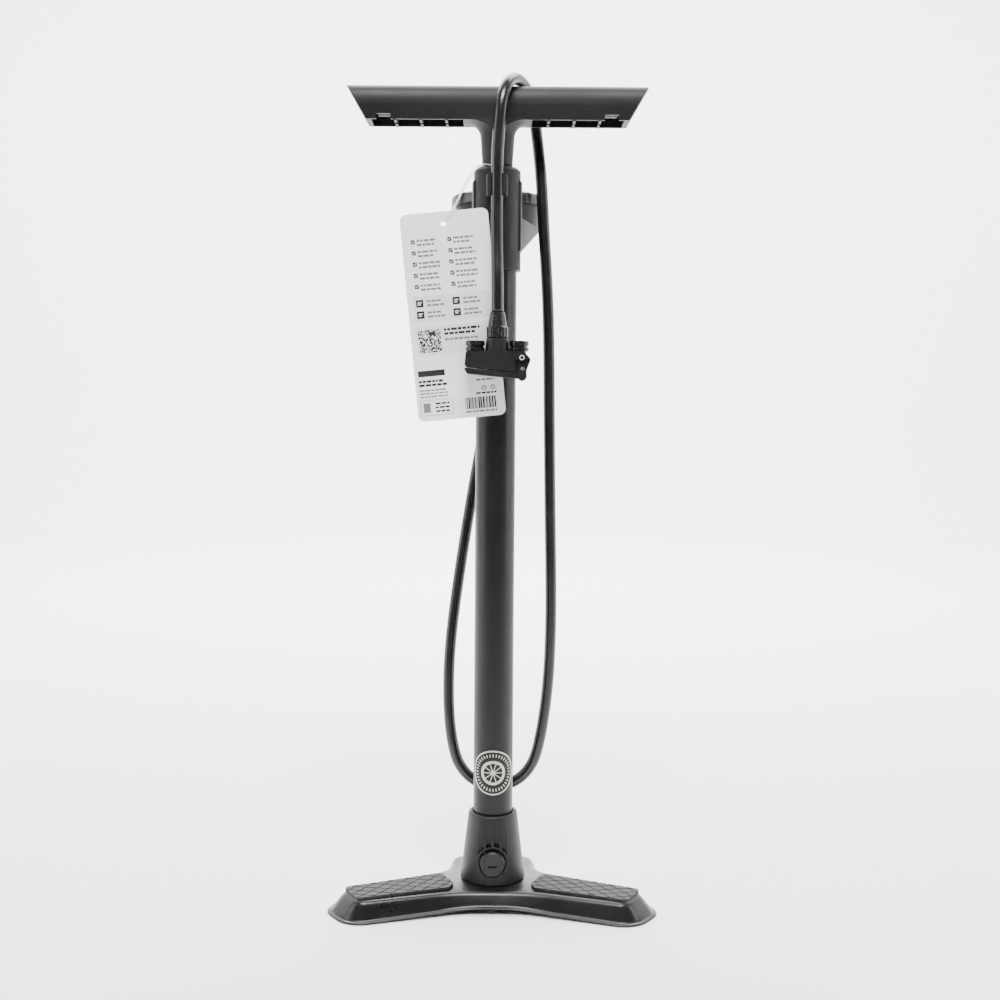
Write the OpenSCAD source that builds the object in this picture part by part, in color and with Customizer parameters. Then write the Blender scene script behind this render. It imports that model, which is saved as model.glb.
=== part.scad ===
// Floor pump for bicycle tyres: steel barrel on a pressed V-shaped base, T-handle, gauge on top,
// and a hose that is parked over the handle with its twin valve head clipped in front.
// The origin is on the barrel's axis at floor level. +Z is up, and the gauge is on the +Y side.

/* [Barrel] */
// Outer diameter of the steel barrel
barrel_d = 32; // [30:0.5:38]
// Wall of the steel barrel
barrel_wall = 1.2; // [0.8:0.1:1.6]
// Height of the barrel's lower end above the floor
barrel_z0 = 48; // [46:1:52]
// Gap between the barrel and the inner cylinder
cylinder_gap = 1.6; // [1.2:0.1:2.4]
// Wall of the inner cylinder
cylinder_wall = 1; // [0.8:0.1:1.2]

/* [Rod and piston] */
// Diameter of the piston rod
rod_d = 10; // [8:0.5:11]
// Stroke of the handle, which sets the barrel's length
stroke = 460; // [300:5:600]
// Height of the piston
piston_h = 12; // [10:1:16]
// Radial gap of a running fit
run_gap = 0.05; // [0.03:0.01:0.08]
// Radial gap of a loose fit
loose_gap = 0.3; // [0.2:0.05:0.5]

/* [Base] */
// Height of the pressed steel base
base_h = 16; // [14:1:24]
// Sheet thickness of the base
base_sheet = 2; // [1.5:0.1:3]
// Spread of the base's two arms, from the axis to the corner of a tip
arm_reach = 120; // [100:1:140]
// How far the rear stub reaches behind the axis
stub_reach = 51; // [45:1:60]
// Rise of the front edge between the feet
arch_rise = 4.5; // [0:0.5:6]
// How much further the skirt spreads at the tips of the arms
tip_flare = 6; // [0:0.5:9]
// Thickness of the rubber treads
tread_t = 2.4; // [1.8:0.1:3.5]
// Spacing of the grooves in the treads
tread_pitch = 10; // [8:0.5:14]

/* [Neck] */
// How much wider the neck is at the base than at its rim
neck_flare = 6.2; // [4:0.1:9]
// Thickness of the neck around the barrel, at its rim
neck_rim = 4; // [3.5:0.1:6]
// Height of the neck's rim above the floor
neck_top = 71; // [66:1:80]
// Height of the check valve's axis
valve_z = 34.4; // [33:0.2:35]
// Radius of the check valve plug's head
plug_r = 10.2; // [9.6:0.1:10.8]

/* [Top housing] */
// Wall of the cap sleeve
cap_wall = 2.6; // [2.2:0.1:4]
// Length of the cap sleeve
cap_len = 80; // [70:1:90]
// Thickness of the cap above the barrel
cap_roof = 15; // [12:1:18]
// Outer radius of the gauge's bezel ring
bezel_r = 38.4; // [32:0.2:46]
// Height of the bezel ring
bezel_h = 8.8; // [8:0.2:10]

/* [Handle] */
// Length of the handle along its top
handle_len = 238; // [200:1:280]
// Height of the handle's bar
bar_h = 28; // [26:1:32]
// Front-to-back depth of the handle's bar
bar_d = 31; // [28:1:34]
// Wall of the handle's shell
handle_wall = 3; // [2.4:0.1:4]
// Slant of the handle's ends
end_slant = 30; // [0:1:35]
// Spacing of the ribs under the handle
rib_pitch = 20; // [16:1:24]

/* [Hose and head] */
// Outer diameter of the hose
hose_d = 9.5; // [8:0.1:9.6]
// Length of the valve head's body
head_len = 50; // [48:1:56]
// Depth of the valve head's body
head_d = 20; // [18:0.5:22]

/* [Hang tag] */
// Width of the card
tag_w = 69; // [50:1:80]
// Height of the card
tag_h = 161; // [120:1:180]

/* [Hidden] */
$fn = 64;
eps = 0.01;

barrel_r = barrel_d / 2;
barrel_len = stroke + 66;                      // with room for the piston, the bush and their seats
bore_r = barrel_r - barrel_wall;               // inside of the barrel
barrel_top = barrel_z0 + barrel_len;
cap_r = barrel_r + cap_wall;
cap_top = barrel_top + cap_roof;
cap_z0 = cap_top - cap_len;
cyl_r = bore_r - cylinder_gap;
cyl_bore = cyl_r - cylinder_wall;
cyl_top = barrel_top - 14;
rod_r = rod_d / 2;
bush_r = bore_r - 0.2;
bush_drop = 10;                                // how far the bush hangs into the inner cylinder
bumper_h = 1.4;
stem_z = cap_top + bumper_h + 0.1;             // underside of the handle's stem
stem_r = 12;                                   // stem at its lower end
stem_r1 = 13.4;                                // stem below its fillet
bar_z0 = stem_z + 34;                          // underside of the handle's bar
bar_z1 = bar_z0 + bar_h;
piston_z = barrel_z0 + 8;                      // underside of the piston at rest

// ---- plane geometry -------------------------------------------------------------------------
function unit(v) = v / norm(v);
function flip_x(p) = [-p[0], p[1]];
// a half outline and its mirror image, as one closed ring
function both_sides(half) = concat(half, [for (i = [len(half) - 1:-1:0]) flip_x(half[i])]);
function wrap(p, i) = p[(i + len(p)) % len(p)];
// outward normal of the edge that leaves point i of a counter-clockwise ring
function edge_normal(p, i) = let (e = unit(wrap(p, i + 1) - wrap(p, i))) [e[1], -e[0]];
// a ring moved outward by d with mitred corners
function grown(p, d) = [for (i = [0:len(p) - 1])
    let (a = edge_normal(p, i - 1), b = edge_normal(p, i)) p[i] + d * (a + b) / (1 + a * b)];
// +1 at a convex corner and -1 at a hollow one
function corner_sign(p, i) = sign(cross(wrap(p, i) - wrap(p, i - 1), wrap(p, i + 1) - wrap(p, i)));
// the arc of radius r that rounds corner b between a and c, with a step every 12 degrees or less
function corner_arc(a, b, c, r) =
    let (u = unit(a - b), w = unit(c - b), half = acos(u * w) / 2,
         centre = b + unit(u + w) * r / sin(half),
         p = b + u * r / tan(half) - centre, q = b + w * r / tan(half) - centre,
         a0 = atan2(p[1], p[0]), turn = (atan2(q[1], q[0]) - a0 + 540) % 360 - 180,
         n = ceil(max(1, abs(turn) / 12 - 0.01)))
    [for (k = [0:n]) centre + r * [cos(a0 + turn * k / n), sin(a0 + turn * k / n)]];
// a ring with every corner rounded by its own radius, after moving outward by d
function rounded(p, radii, d = 0) = let (g = grown(p, d))
    [for (i = [0:len(p) - 1])
        each corner_arc(wrap(g, i - 1), g[i], wrap(g, i + 1), max(0.3, radii[i] + d * corner_sign(p, i)))];

// a solid that joins equal rings of 3-D points; each end closes in triangles about a hub point
function mean_point(ring) = [for (q = ring) 1 / len(ring)] * ring;
module loft(rings, hub) {
    n = len(rings[0]);
    m = len(rings);
    sides = [for (j = [0:m - 2], i = [0:n - 1], k = [0, 1])
        k == 0 ? [j * n + i, j * n + (i + 1) % n, (j + 1) * n + (i + 1) % n]
               : [j * n + i, (j + 1) * n + (i + 1) % n, (j + 1) * n + i]];
    ends = [for (i = [0:n - 1], k = [0, 1])
        k == 0 ? [m * n, (i + 1) % n, i] : [m * n + 1, (m - 1) * n + i, (m - 1) * n + (i + 1) % n]];
    hubs = [for (r = [rings[0], rings[m - 1]]) hub == undef ? mean_point(r) : [hub[0], hub[1], r[0][2]]];
    polyhedron(concat([for (r = rings) each r], hubs), concat(sides, ends), convexity = 6);
}

// ---- tubes along a route --------------------------------------------------------------------
// point t of the way from b to c on the smooth curve through a, b, c and d
function smooth_point(a, b, c, d, t) = 0.5 * (2 * b + (c - a) * t + (2 * a - 5 * b + 4 * c - d) * t * t
    + (3 * b - a - 3 * c + d) * t * t * t);
function smooth_route(p, n) = let (last = len(p) - 1) concat([for (i = [0:last - 1], k = [0:n - 1])
    smooth_point(p[max(i - 1, 0)], p[i], p[i + 1], p[min(i + 2, last)], k / n)], [p[last]]);
function heading(p, i) = unit(p[min(i + 1, len(p) - 1)] - p[max(i - 1, 0)]);
// a side vector carried along the route without twisting
function carried(p, i, side) = let (t = heading(p, i)) unit(side - (side * t) * t);
function sides_of(p, i, side) = i == len(p) - 1 ? [carried(p, i, side)]
    : let (s = carried(p, i, side)) concat([s], sides_of(p, i + 1, s));
// a round tube of radius r along points p, with n sides
module tube_along(p, r, n, first_side = [1, 0, 0]) {
    s = sides_of(p, 0, first_side);
    loft([for (i = [0:len(p) - 1]) let (t = heading(p, i), b = cross(t, s[i]))
        [for (k = [0:n - 1]) p[i] + r * (cos(360 * k / n) * s[i] + sin(360 * k / n) * b)]]);
}
// points of a round coil about the Z axis
function coil(r, h, turns, n) = [for (k = [0:turns * n])
    [r * cos(360 * k / n), r * sin(360 * k / n), h * k / (turns * n)]];

module ring(r_out, r_in, h) {
    difference() {
        cylinder(r = r_out, h = h);
        translate([0, 0, -eps]) cylinder(r = r_in, h = h + 2 * eps);
    }
}
// a cylinder whose ends are chamfered by c
module turned(r, h, c) {
    rotate_extrude() polygon([[0, 0], [r - c, 0], [r, c], [r, h - c], [r - c, h], [0, h]]);
}

// ---- base -----------------------------------------------------------------------------------
base_half = [[28, -37], [arm_reach - 15, -60.5], [arm_reach + 2, -33.5],
    [34, 12], [33, stub_reach - 10], [20, stub_reach]];
base_ring = both_sides(base_half);
base_round_half = [110, 10, 11, 24, 9, 9];
base_round = concat(base_round_half, [for (i = [len(base_round_half) - 1:-1:0]) base_round_half[i]]);
base_hub = [0, -12];                           // a point that sees the whole outline
lip_out = 8;                                   // reach of the lip beyond the top's outline
lip_t = 1.6;
lip_cut = 0.3;                                 // depth cut off the lip to leave one flat face on the floor
arch_half = 78;                                // half width of the raised front edge
// how much the skirt is raised at a point, none at the top of the base
function arch(q, z) = q[1] < -24 && abs(q[0]) < arch_half
    ? arch_rise * pow(cos(90 * q[0] / arch_half), 2) * (1 - max(z, 0) / base_h) : 0;
// how far a point of the skirt is spread sideways, growing from 30 mm short of the tip
function flare(q, z) = sign(q[0]) * tip_flare * min(1, max(0, abs(q[0]) - arm_reach + 30) / 30)
    * (1 - max(z, 0) / base_h);
function base_level(d, z, raised) = [for (q = rounded(base_ring, base_round, d))
    [q[0] + flare(q, z), q[1], z + raised * arch(q, z)]];
// distance out from the top's outline, height, and whether the arch raises it: from the underside
// of the sheet, down inside the skirt, under the lip and up over the shoulder
base_section = [[-3, base_h - base_sheet, 0], [-0.8, base_h - base_sheet - 2.2, 1], [3, 3.6, 1],
    [lip_out - 4, -lip_cut, 1], [lip_out, -lip_cut, 1], [lip_out, lip_t, 1], [6.4, lip_t + 0.3, 1],
    [5.2, 3.2, 1], [4.4, 4.8, 1], [1.2, base_h - 3.4, 1], [0.2, base_h - 1.6, 1], [-1.2, base_h - 0.4, 1],
    [-3, base_h, 0]];
screw_at = [[19, 6], [-19, 6], [0, 21]];       // the screws that hold the neck
screw_r = 2.2;
screw_head_r = 4.4;

module base_plate() {
    color("#25272a") difference() {
        loft([for (s = base_section) base_level(s[0], s[1], s[2])], base_hub);
        translate([-200, -100, -10]) cube([400, 200, 10]);
        for (p = screw_at) translate([p[0], p[1], 0]) cylinder(r = screw_r + loose_gap, h = base_h + 1);
        translate([0, 0, -1]) cylinder(r = 8, h = base_h + 2);
    }
}

tread_left = [[-34, -33], [-31, -24], [-42, -1.5], [-arm_reach + 1, -34.5], [-arm_reach + 15, -57]];
tread_round = [4, 5, 4, 5, 4];
tread_angle = 24;                              // sweep of the arm that the tread lies on
groove_angle = 33;                             // grooves to the arm's direction
module tread() {
    ring_in = [for (i = [len(tread_left) - 1:-1:0]) tread_left[i]];
    difference() {
        linear_extrude(tread_t) polygon(rounded(ring_in, tread_round));
        for (side = [-1, 1]) translate([-78, -30, tread_t]) rotate([0, 0, tread_angle + side * groove_angle])
            for (k = [-7:7]) translate([0, k * tread_pitch * 0.8, 0]) cube([120, 1, 1.2], center = true);
    }
}
module foot_tread_left() { color("#1b1c1e") translate([0, 0, base_h]) tread(); }
module foot_tread_right() { color("#1b1c1e") mirror([1, 0, 0]) translate([0, 0, base_h]) tread(); }

// ---- neck and check valve -------------------------------------------------------------------
neck_r1 = barrel_r + neck_rim;                 // radius of the neck at its rim
neck_r0 = neck_r1 + neck_flare;                // and at the base
plug_bore_r = plug_r + 1.2;
plug_seat_y = -17;                             // floor of the plug's counterbore
chamber_r = 8.5;
chamber_end = 8;
slot_w = 4.3;
slot_pitch = 6.4;
neck_lean = (neck_r0 - neck_r1) / (neck_top - base_h);
rim_round = 2;

module neck_body() {
    rotate_extrude() polygon(concat([[0, base_h], [neck_r0 - 0.8, base_h], [neck_r0, base_h + 0.8]],
        [for (k = [0:6]) [neck_r1 - rim_round + rim_round * cos(15 * k),
                          neck_top - rim_round + rim_round * sin(15 * k)]], [[0, neck_top]]));
}
module along_y(y0, y1, r) { translate([0, y0, 0]) rotate([-90, 0, 0]) cylinder(r = r, h = y1 - y0); }

module base_neck() {
    color("#2a2b2d") difference() {
        neck_body();
        // socket for the barrel, a little wider at the rim
        translate([0, 0, barrel_z0]) cylinder(r = barrel_r + run_gap, h = neck_top);
        translate([0, 0, neck_top - 3.4]) cylinder(r = barrel_r + 0.9, h = 10);
        translate([0, 0, valve_z]) {
            along_y(-40, plug_seat_y, plug_bore_r);
            along_y(plug_seat_y - 1, chamber_end, chamber_r);
        }
        translate([0, 6, valve_z]) cylinder(r = 1.8, h = barrel_z0 - valve_z + 1);
        // passage from the valve chamber to the gap around the inner cylinder
        hull() {
            translate([0, -5, valve_z + 6]) sphere(r = 1.2, $fn = 16);
            translate([0, -(cyl_r + bore_r) / 2, barrel_z0 + 1]) sphere(r = 0.7, $fn = 16);
        }
        fluted_recess();
        for (p = screw_at) translate([p[0], p[1], base_h - 1]) cylinder(r = screw_r, h = 15);
        translate([0, 0, base_h - 1]) cylinder(r = 7, h = 5);
    }
}
// four upright slots above the plug, stopped by a round boss about the plug
module fluted_recess() {
    difference() {
        for (k = [-1.5:1:1.5]) translate([k * slot_pitch - slot_w / 2, -40, valve_z])
            cube([slot_w, 40 - barrel_r - 1.7, neck_top - 2.6 - valve_z]);
        translate([0, 0, valve_z]) along_y(-41, 0, plug_bore_r + 1.6);
    }
}
module neck_screws() {
    color("silver") for (p = screw_at) translate([p[0], p[1], base_h - base_sheet]) {
        cylinder(r = screw_r - 0.02, h = base_sheet + 12);
        translate([0, 0, -2.6]) difference() {
            turned(screw_head_r, 2.6, 0.5);
            translate([0, 0, -1]) cylinder(r = 1.6, h = 2.4, $fn = 6);
        }
    }
}
plug_face = -28.6;                             // front face of the plug
plug_back = plug_seat_y - 2.2;
shank_end = -9;
module check_valve_plug() {
    color("#303134") translate([0, 0, valve_z]) difference() {
        union() {
            translate([0, plug_face, 0]) rotate([-90, 0, 0]) turned(plug_r, plug_back - plug_face, 0.9);
            along_y(plug_back - 1, shank_end, chamber_r - 0.1);
        }
        translate([-3.6, plug_face - 1, -1.9]) cube([7.2, 3, 1.3]);
        along_y(shank_end - 6, shank_end + 1, 2.1 + run_gap);
        for (k = [0:15]) rotate([0, k * 22.5, 0]) translate([0, plug_face + 1.4, plug_r + 0.35])
            rotate([-90, 0, 0]) cylinder(r = 0.8, h = 20, $fn = 16);
    }
}
module plug_oring() {
    color("#101010") translate([0, plug_seat_y - 1.1, valve_z]) rotate([90, 0, 0])
        rotate_extrude() translate([chamber_r + 1.1, 0]) circle(r = 1.1, $fn = 24);
}
seat_y = 1;
module check_valve_seat() {
    color("goldenrod") translate([0, seat_y, valve_z]) rotate([-90, 0, 0]) ring(chamber_r, 3, 3);
}
module check_valve_poppet() {
    color("ivory") translate([0, 0, valve_z]) union() {
        along_y(seat_y - 2 - run_gap, seat_y - run_gap, 5.2);
        along_y(shank_end - 3, seat_y - 1.5, 2.1);
    }
}
module check_valve_spring() {
    color("silver") translate([0, shank_end + 0.4, valve_z]) rotate([-90, 0, 0])
        tube_along(coil(3.4, seat_y - 4.5 - shank_end, 4, 12), 0.35, 6);
}

// ---- barrel ---------------------------------------------------------------------------------
passage_z = barrel_top - 34;                   // height of the air passage to the gauge
module barrel() {
    color("#232427") difference() {
        translate([0, 0, barrel_z0]) ring(barrel_r, bore_r, barrel_len);
        translate([0, 0, passage_z]) along_y(bore_r - 3, barrel_r + 3, 2);
    }
}
module inner_cylinder() {
    color("silver") translate([0, 0, barrel_z0]) ring(cyl_r, cyl_bore, cyl_top - barrel_z0);
}
badge_r = 18.4;
badge_z = 106.4;
badge_t = 0.5;
module barrel_badge() {
    color("gainsboro") intersection() {
        translate([0, 0, badge_z - 30]) ring(barrel_r + badge_t, barrel_r, 60);
        translate([0, 0, badge_z]) badge_outline();
    }
}
// the round badge wrapped on the barrel: its half width at a height is an arc length
module badge_outline() {
    steps = 24;
    loft([for (k = [0:steps]) let (a = -90 + 180 * k / steps, half = max(0.3, badge_r * cos(a)) / barrel_r * 180 / PI)
        [for (r = [barrel_r - 1, barrel_r + 2], i = [0:10])
            let (th = (r < barrel_r ? -1 : 1) * (1 - i / 5) * half)
            [r * sin(th), -r * cos(th), badge_r * sin(a)]]]);
}

// ---- top housing ----------------------------------------------------------------------------
ring_z0 = cap_top - 21.2;                      // underside of the bezel ring
ring_z1 = ring_z0 + bezel_h;
bowl_r = bezel_r - 3.8;
bowl_in = bowl_r - 3;
bowl_z0 = ring_z0 - 20.5;
bowl_floor = bowl_z0 + 4;
gusset_z = bowl_z0 - 24;
spigot_r = bezel_r - 6;
ring_gap = 0.5;                                // between the bezel ring and the cap
gauge_y = cap_r + bezel_r + ring_gap;          // the gauge's axis, behind the barrel's
boss_z = gusset_z + 4;
boss_r = 8.5;
clip_y = -(cap_r + hose_d / 2 + 1);            // axis of the parked hose
clip_z0 = cap_top - 24.7;
clip_h = 18;
clip_gap = 7.2;
clip_w = 4.8;
button_r = 6;
button_z = bowl_z0 + 11.5;
module at_gauge() { translate([0, gauge_y, 0]) children(); }

module top_housing() {
    color("#2c2d2f") difference() {
        union() {
            translate([0, 0, cap_z0]) cylinder(r = cap_r + 0.4, h = gusset_z - cap_z0);
            translate([0, 0, gusset_z]) turned(cap_r, cap_top - gusset_z, 2.4);
            shoulder();
            gusset();
            at_gauge() translate([0, 0, bowl_z0]) cylinder(r = bowl_r, h = ring_z0 - bowl_z0 - 0.2);
            at_gauge() translate([0, 0, bowl_z0]) cylinder(r = spigot_r - run_gap, h = spigot_top - bowl_z0);
            at_gauge() translate([0, 0, boss_z]) cylinder(r = boss_r, h = 20);
            at_gauge() translate([0, 0, button_z]) along_y(bowl_r - 6, bowl_r + 1.6, button_r + 2);
            for (side = [-1, 1]) clip_rib(side);
        }
        translate([0, 0, cap_z0 - 1]) cylinder(r = barrel_r + run_gap, h = barrel_top - cap_z0 + 1);
        translate([0, 0, barrel_top - 1]) cylinder(r = 9, h = cap_roof - 2);
        translate([0, 0, barrel_top]) cylinder(r = rod_r + 0.6, h = cap_roof + 1);
        at_gauge() translate([0, 0, bowl_floor]) cylinder(r = bowl_in - 1, h = 40);
        at_gauge() translate([0, 0, boss_z - 1]) cylinder(r = 4, h = 9);
        at_gauge() translate([0, 0, boss_z]) cylinder(r = 2, h = bowl_floor - boss_z + 1);
        translate([0, 0, passage_z]) along_y(barrel_r - 2, gauge_y, 2);
        at_gauge() translate([0, 0, button_z]) along_y(bowl_in - 8, bowl_r + 5, button_r - 1 + run_gap);
        at_gauge() translate([0, 0, button_z]) along_y(bowl_r - 1, bowl_r + 5, button_r + run_gap);
        translate([0, clip_y, clip_z0 - 1]) cylinder(r = hose_d / 2 + 0.15, h = clip_h + 2);
    }
}
// the wider flanks that carry the gauge, with rounded upper ends
module shoulder() {
    difference() {
        translate([0, 0, gusset_z]) turned(cap_r + 1.3, cap_top - 9.5 - gusset_z, 1.2);
        translate([-40, -67, gusset_z - 1]) cube([80, 60, 90]);
        // room for the bezel ring to turn
        at_gauge() translate([0, 0, ring_z0 - 0.4]) cylinder(r = bezel_r + 0.4, h = 40);
    }
}
module gusset() {
    hull() {
        at_gauge() translate([0, 0, bowl_z0]) cylinder(r = bowl_r, h = 3, $fn = 40);
        translate([0, 0, gusset_z]) cylinder(r = cap_r, h = 28, $fn = 40);
        translate([-cap_r * 0.8, 12, gusset_z + 2]) cube([cap_r * 1.6, 6, 8]);
    }
}
module clip_rib(side) {
    x = side * (clip_gap + clip_w) / 2;
    hull() for (z = [clip_z0 + clip_w / 2, clip_z0 + clip_h - clip_w / 2]) {
        translate([x, -(cap_r - 2), z]) rotate([90, 0, 0]) cylinder(r = clip_w / 2, h = 4, $fn = 32);
        translate([x, clip_y - 1.2, z]) rotate([90, 0, 0]) cylinder(r = clip_w / 2 - 0.8, h = 1.6, $fn = 32);
    }
}
module rod_bush() {
    color("whitesmoke") difference() {
        union() {
            translate([0, 0, cyl_top]) cylinder(r = bush_r, h = barrel_top - cyl_top);
            translate([0, 0, cyl_top - bush_drop]) cylinder(r = cyl_bore - 0.02, h = bush_drop + 1);
            translate([0, 0, barrel_top - 1]) cylinder(r = 8.98, h = 8);
        }
        translate([0, 0, cyl_top - 11]) cylinder(r = rod_r + run_gap, h = 50);
    }
}
module rod_wiper() {
    color("#151515") translate([0, 0, barrel_top + 7]) ring(8.98, rod_r + run_gap, 5);
}
bumper_r = 8.8;
module stop_bumper() {
    color("#151515") translate([0, 0, cap_top]) difference() {
        turned(bumper_r, bumper_h, 0.3);
        translate([0, 0, -1]) cylinder(r = rod_r + 1.4, h = 4);
    }
}

// ---- gauge ----------------------------------------------------------------------------------
spigot_top = ring_z0 + 3.6;                      // the lens rests here
dial_z = ring_z0 - 1.2;
spindle_r = 0.9;
move_r = bowl_in - 18.6;
tube_r = move_r + 5;                           // the curved pressure tube, from the gauge's axis
spring_y = tube_r - 2;                         // seat of the button's spring
module gauge_movement() {
    color("goldenrod") at_gauge() difference() {
        union() {
            translate([0, 0, bowl_floor]) turned(move_r, 5, 0.6);
            translate([0, 0, bowl_floor + 4]) turned(8, dial_z - bowl_floor - 4, 0.5);
            // the curved pressure tube around the movement, open towards the button
            translate([0, 0, bowl_floor + 8]) rotate([0, 0, 130]) rotate_extrude(angle = 280)
                translate([tube_r, 0]) circle(r = 1.8, $fn = 20);
            translate([tube_r - 7, -tube_r - 1, bowl_floor]) cube([6, 6, 9.6]);
            translate([tube_r - 14, 2 - tube_r, bowl_floor]) cube([10, 4, 4]);
            translate([-4, 7, bowl_floor + 3]) cube([8, spring_y - 7, 8]);
        }
        translate([0, 0, bowl_floor - 1]) cylinder(r = 1.6, h = 4);
        translate([0, 0, bowl_floor + 7]) cylinder(r = spindle_r + run_gap, h = 20);
    }
}
module gauge_dial() {
    color("white") at_gauge() translate([0, 0, dial_z]) ring(bowl_in - 1.1, spindle_r + 0.3, 0.8);
}
lens_r = spigot_r - 0.5;
lens_crown = 2.9;                              // thickness of the lens at its middle
lens_edge = 1.2;
module gauge_lens() {
    color("azure", 0.35) at_gauge() translate([0, 0, spigot_top]) rotate_extrude()
        polygon(concat([[0, 0], [lens_r, 0]], [for (k = [10:-1:0])
            [lens_r * k / 10, lens_crown - (lens_crown - lens_edge) * k * k / 100]]));
}
needle_angle = 225;                            // pointer at zero, measured from +X
module gauge_needle() {
    color("orangered") at_gauge() translate([0, 0, dial_z + 1.4]) union() {
        turned(3.4, 1.6, 0.3);
        translate([0, 0, 1.4]) turned(2.2, 0.9, 0.3);
        rotate([0, 0, needle_angle]) linear_extrude(0.8)
            polygon([[-8, -1.6], [0, -1.2], [22, -0.25], [22, 0.25], [0, 1.2], [-8, 1.6]]);
        translate([0, 0, -6]) cylinder(r = spindle_r, h = 7);
    }
}
notches = 8;
module bezel_ring() {
    color("#3a4048") at_gauge() difference() {
        rotate_extrude() polygon([[spigot_r + run_gap, ring_z0], [bezel_r, ring_z0],
            [bezel_r, ring_z1 - 3], [bezel_r - 0.7, ring_z1 - 1.2], [bezel_r - 2.4, ring_z1],
            [spigot_r - 2, ring_z1 - 0.6], [spigot_r - 3.4, ring_z1 - 1.4], [spigot_r - 3.4, ring_z1 - 2.2],
            [spigot_r + run_gap, ring_z1 - 2.2]]);
        for (k = [0:notches - 1]) rotate([0, 0, (k + 0.5) * 360 / notches + 20]) translate([bezel_r + 2.2, 0, ring_z0])
            rotate([0, -12, 0]) cylinder(r = 2.9, h = 16, $fn = 40);
    }
}
module target_marker() {
    color("red") at_gauge() translate([0, 0, ring_z1 - 2.1]) intersection() {
        rotate([0, 0, 45]) linear_extrude(1.4)
            polygon([[spigot_r - 7.4, 0], [spigot_r - 3.3, -2], [spigot_r - 3.3, 2]]);
        cylinder(r = spigot_r - 3.4, h = 2);
    }
}
button_in = 7.5;
module release_button() {
    color("orangered") at_gauge() translate([0, bowl_r + 3.6, button_z]) rotate([90, 0, 0]) {
        turned(button_r, 3.2, 0.7);
        cylinder(r = button_r - 1, h = 3.2 + button_in);
    }
}
module button_spring() {
    color("silver") at_gauge() translate([0, spring_y + 0.4, button_z]) rotate([-90, 0, 0])
        tube_along(coil(2.6, bowl_r - button_in - spring_y - 1.8, 3, 12), 0.35, 6);
}

// ---- hose -----------------------------------------------------------------------------------
hose_exit_z = boss_z - 18.3;                    // lower end of the ferrule, where the hose leaves it
// centre line of the hose, from the gauge's outlet down, round and up behind the handle
loop_points = [[0, 57.5, 509], [0, 57.5, 498], [0, 57.5, 484], [-1, 56.5, 455], [-5, 54, 412], [-13, 51, 365],
    [-23, 47, 306], [-32, 43, 245], [-37, 39, 200], [-38.2, 36, 158], [-34.5, 33, 118], [-29, 31.5, 100.5],
    [-16.5, 30, 87], [1.5, 29, 82], [19.5, 29, 87], [32, 29, 100.5], [38.5, 29, 121], [44.5, 30, 162],
    [47, 30, 210], [46, 29, 300], [44, 26, 400], [41, 21, 500], [38, 20, 545], [36.2, 21.5, 575],
    [34.4, 25.5, 598]];
// over the handle's bar, carried by the handle
crown_points = [[34.3, 25.8, 599.2], [33, 29.5, 612], [31.3, 31.3, 626], [29, 28.8, 639.5], [25.4, 21.2, 650.5],
    [21, 10.5, 656.6], [15.5, -2, 658.2], [10, -14.5, 654.9], [5.7, -25.4, 645.9], [3, -31.2, 632],
    [1.4, -31.8, 616], [0.5, -28.5, 603], [0, -26, 592.6]];
// through the clip and down to the valve head
drop_points = [[0, -25.9, 592.2], [0, -24.4, 582], [0, -24.4, 564], [0, -26, 545], [0.5, -31, 515],
    [0.9, -35.6, 495], [1, -36, 484], [1, -36, 474]];
hose_sides = 10;
module hose_colour() { color("#141516") children(); }
module hose_loop() { hose_colour() tube_along(smooth_route(loop_points, 2), hose_d / 2, hose_sides); }
module hose_crown() { hose_colour() tube_along(smooth_route(crown_points, 1), hose_d / 2, hose_sides); }
module hose_drop() { hose_colour() tube_along(smooth_route(drop_points, 2), hose_d / 2, hose_sides); }
module hose_barb() {
    color("goldenrod") at_gauge() translate([0, 0, hose_exit_z + 0.8]) difference() {
        union() {
            cylinder(r = 3, h = boss_z + 7 - hose_exit_z);
            for (z = [2, 6, 10]) translate([0, 0, z]) cylinder(r1 = 3, r2 = 3.6, h = 3);
            translate([0, 0, boss_z - hose_exit_z]) cylinder(r = 3.96, h = 7);
        }
        translate([0, 0, -1]) cylinder(r = 1.7, h = 40);
    }
}
module hose_ferrule() {
    color("#101112") at_gauge() translate([0, 0, hose_exit_z]) difference() {
        turned(6.6, boss_z - hose_exit_z, 0.6);
        translate([0, 0, 0.8]) cylinder(r = 3.7, h = 40);
        for (z = [4, 9, 14]) translate([0, 0, z]) ring(9, 6.2, 1);
    }
}

// ---- valve head -----------------------------------------------------------------------------
head_x = 1;
head_y = -36;
head_top = 444;                                // upper face of the body
head_bot = 431;
port_x = 17;                                   // each valve port from the hose's axis
port_r = 7.4;
nut_r = 8.4;
pin_x = head_len / 2 - 5.5;
pin_z = head_bot - 0.4;
pin_r = 1.5;
ear_slot = 3;                                   // depth of the body's slots for the lever's ears
module at_head() { translate([head_x, head_y, 0]) children(); }

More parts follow.
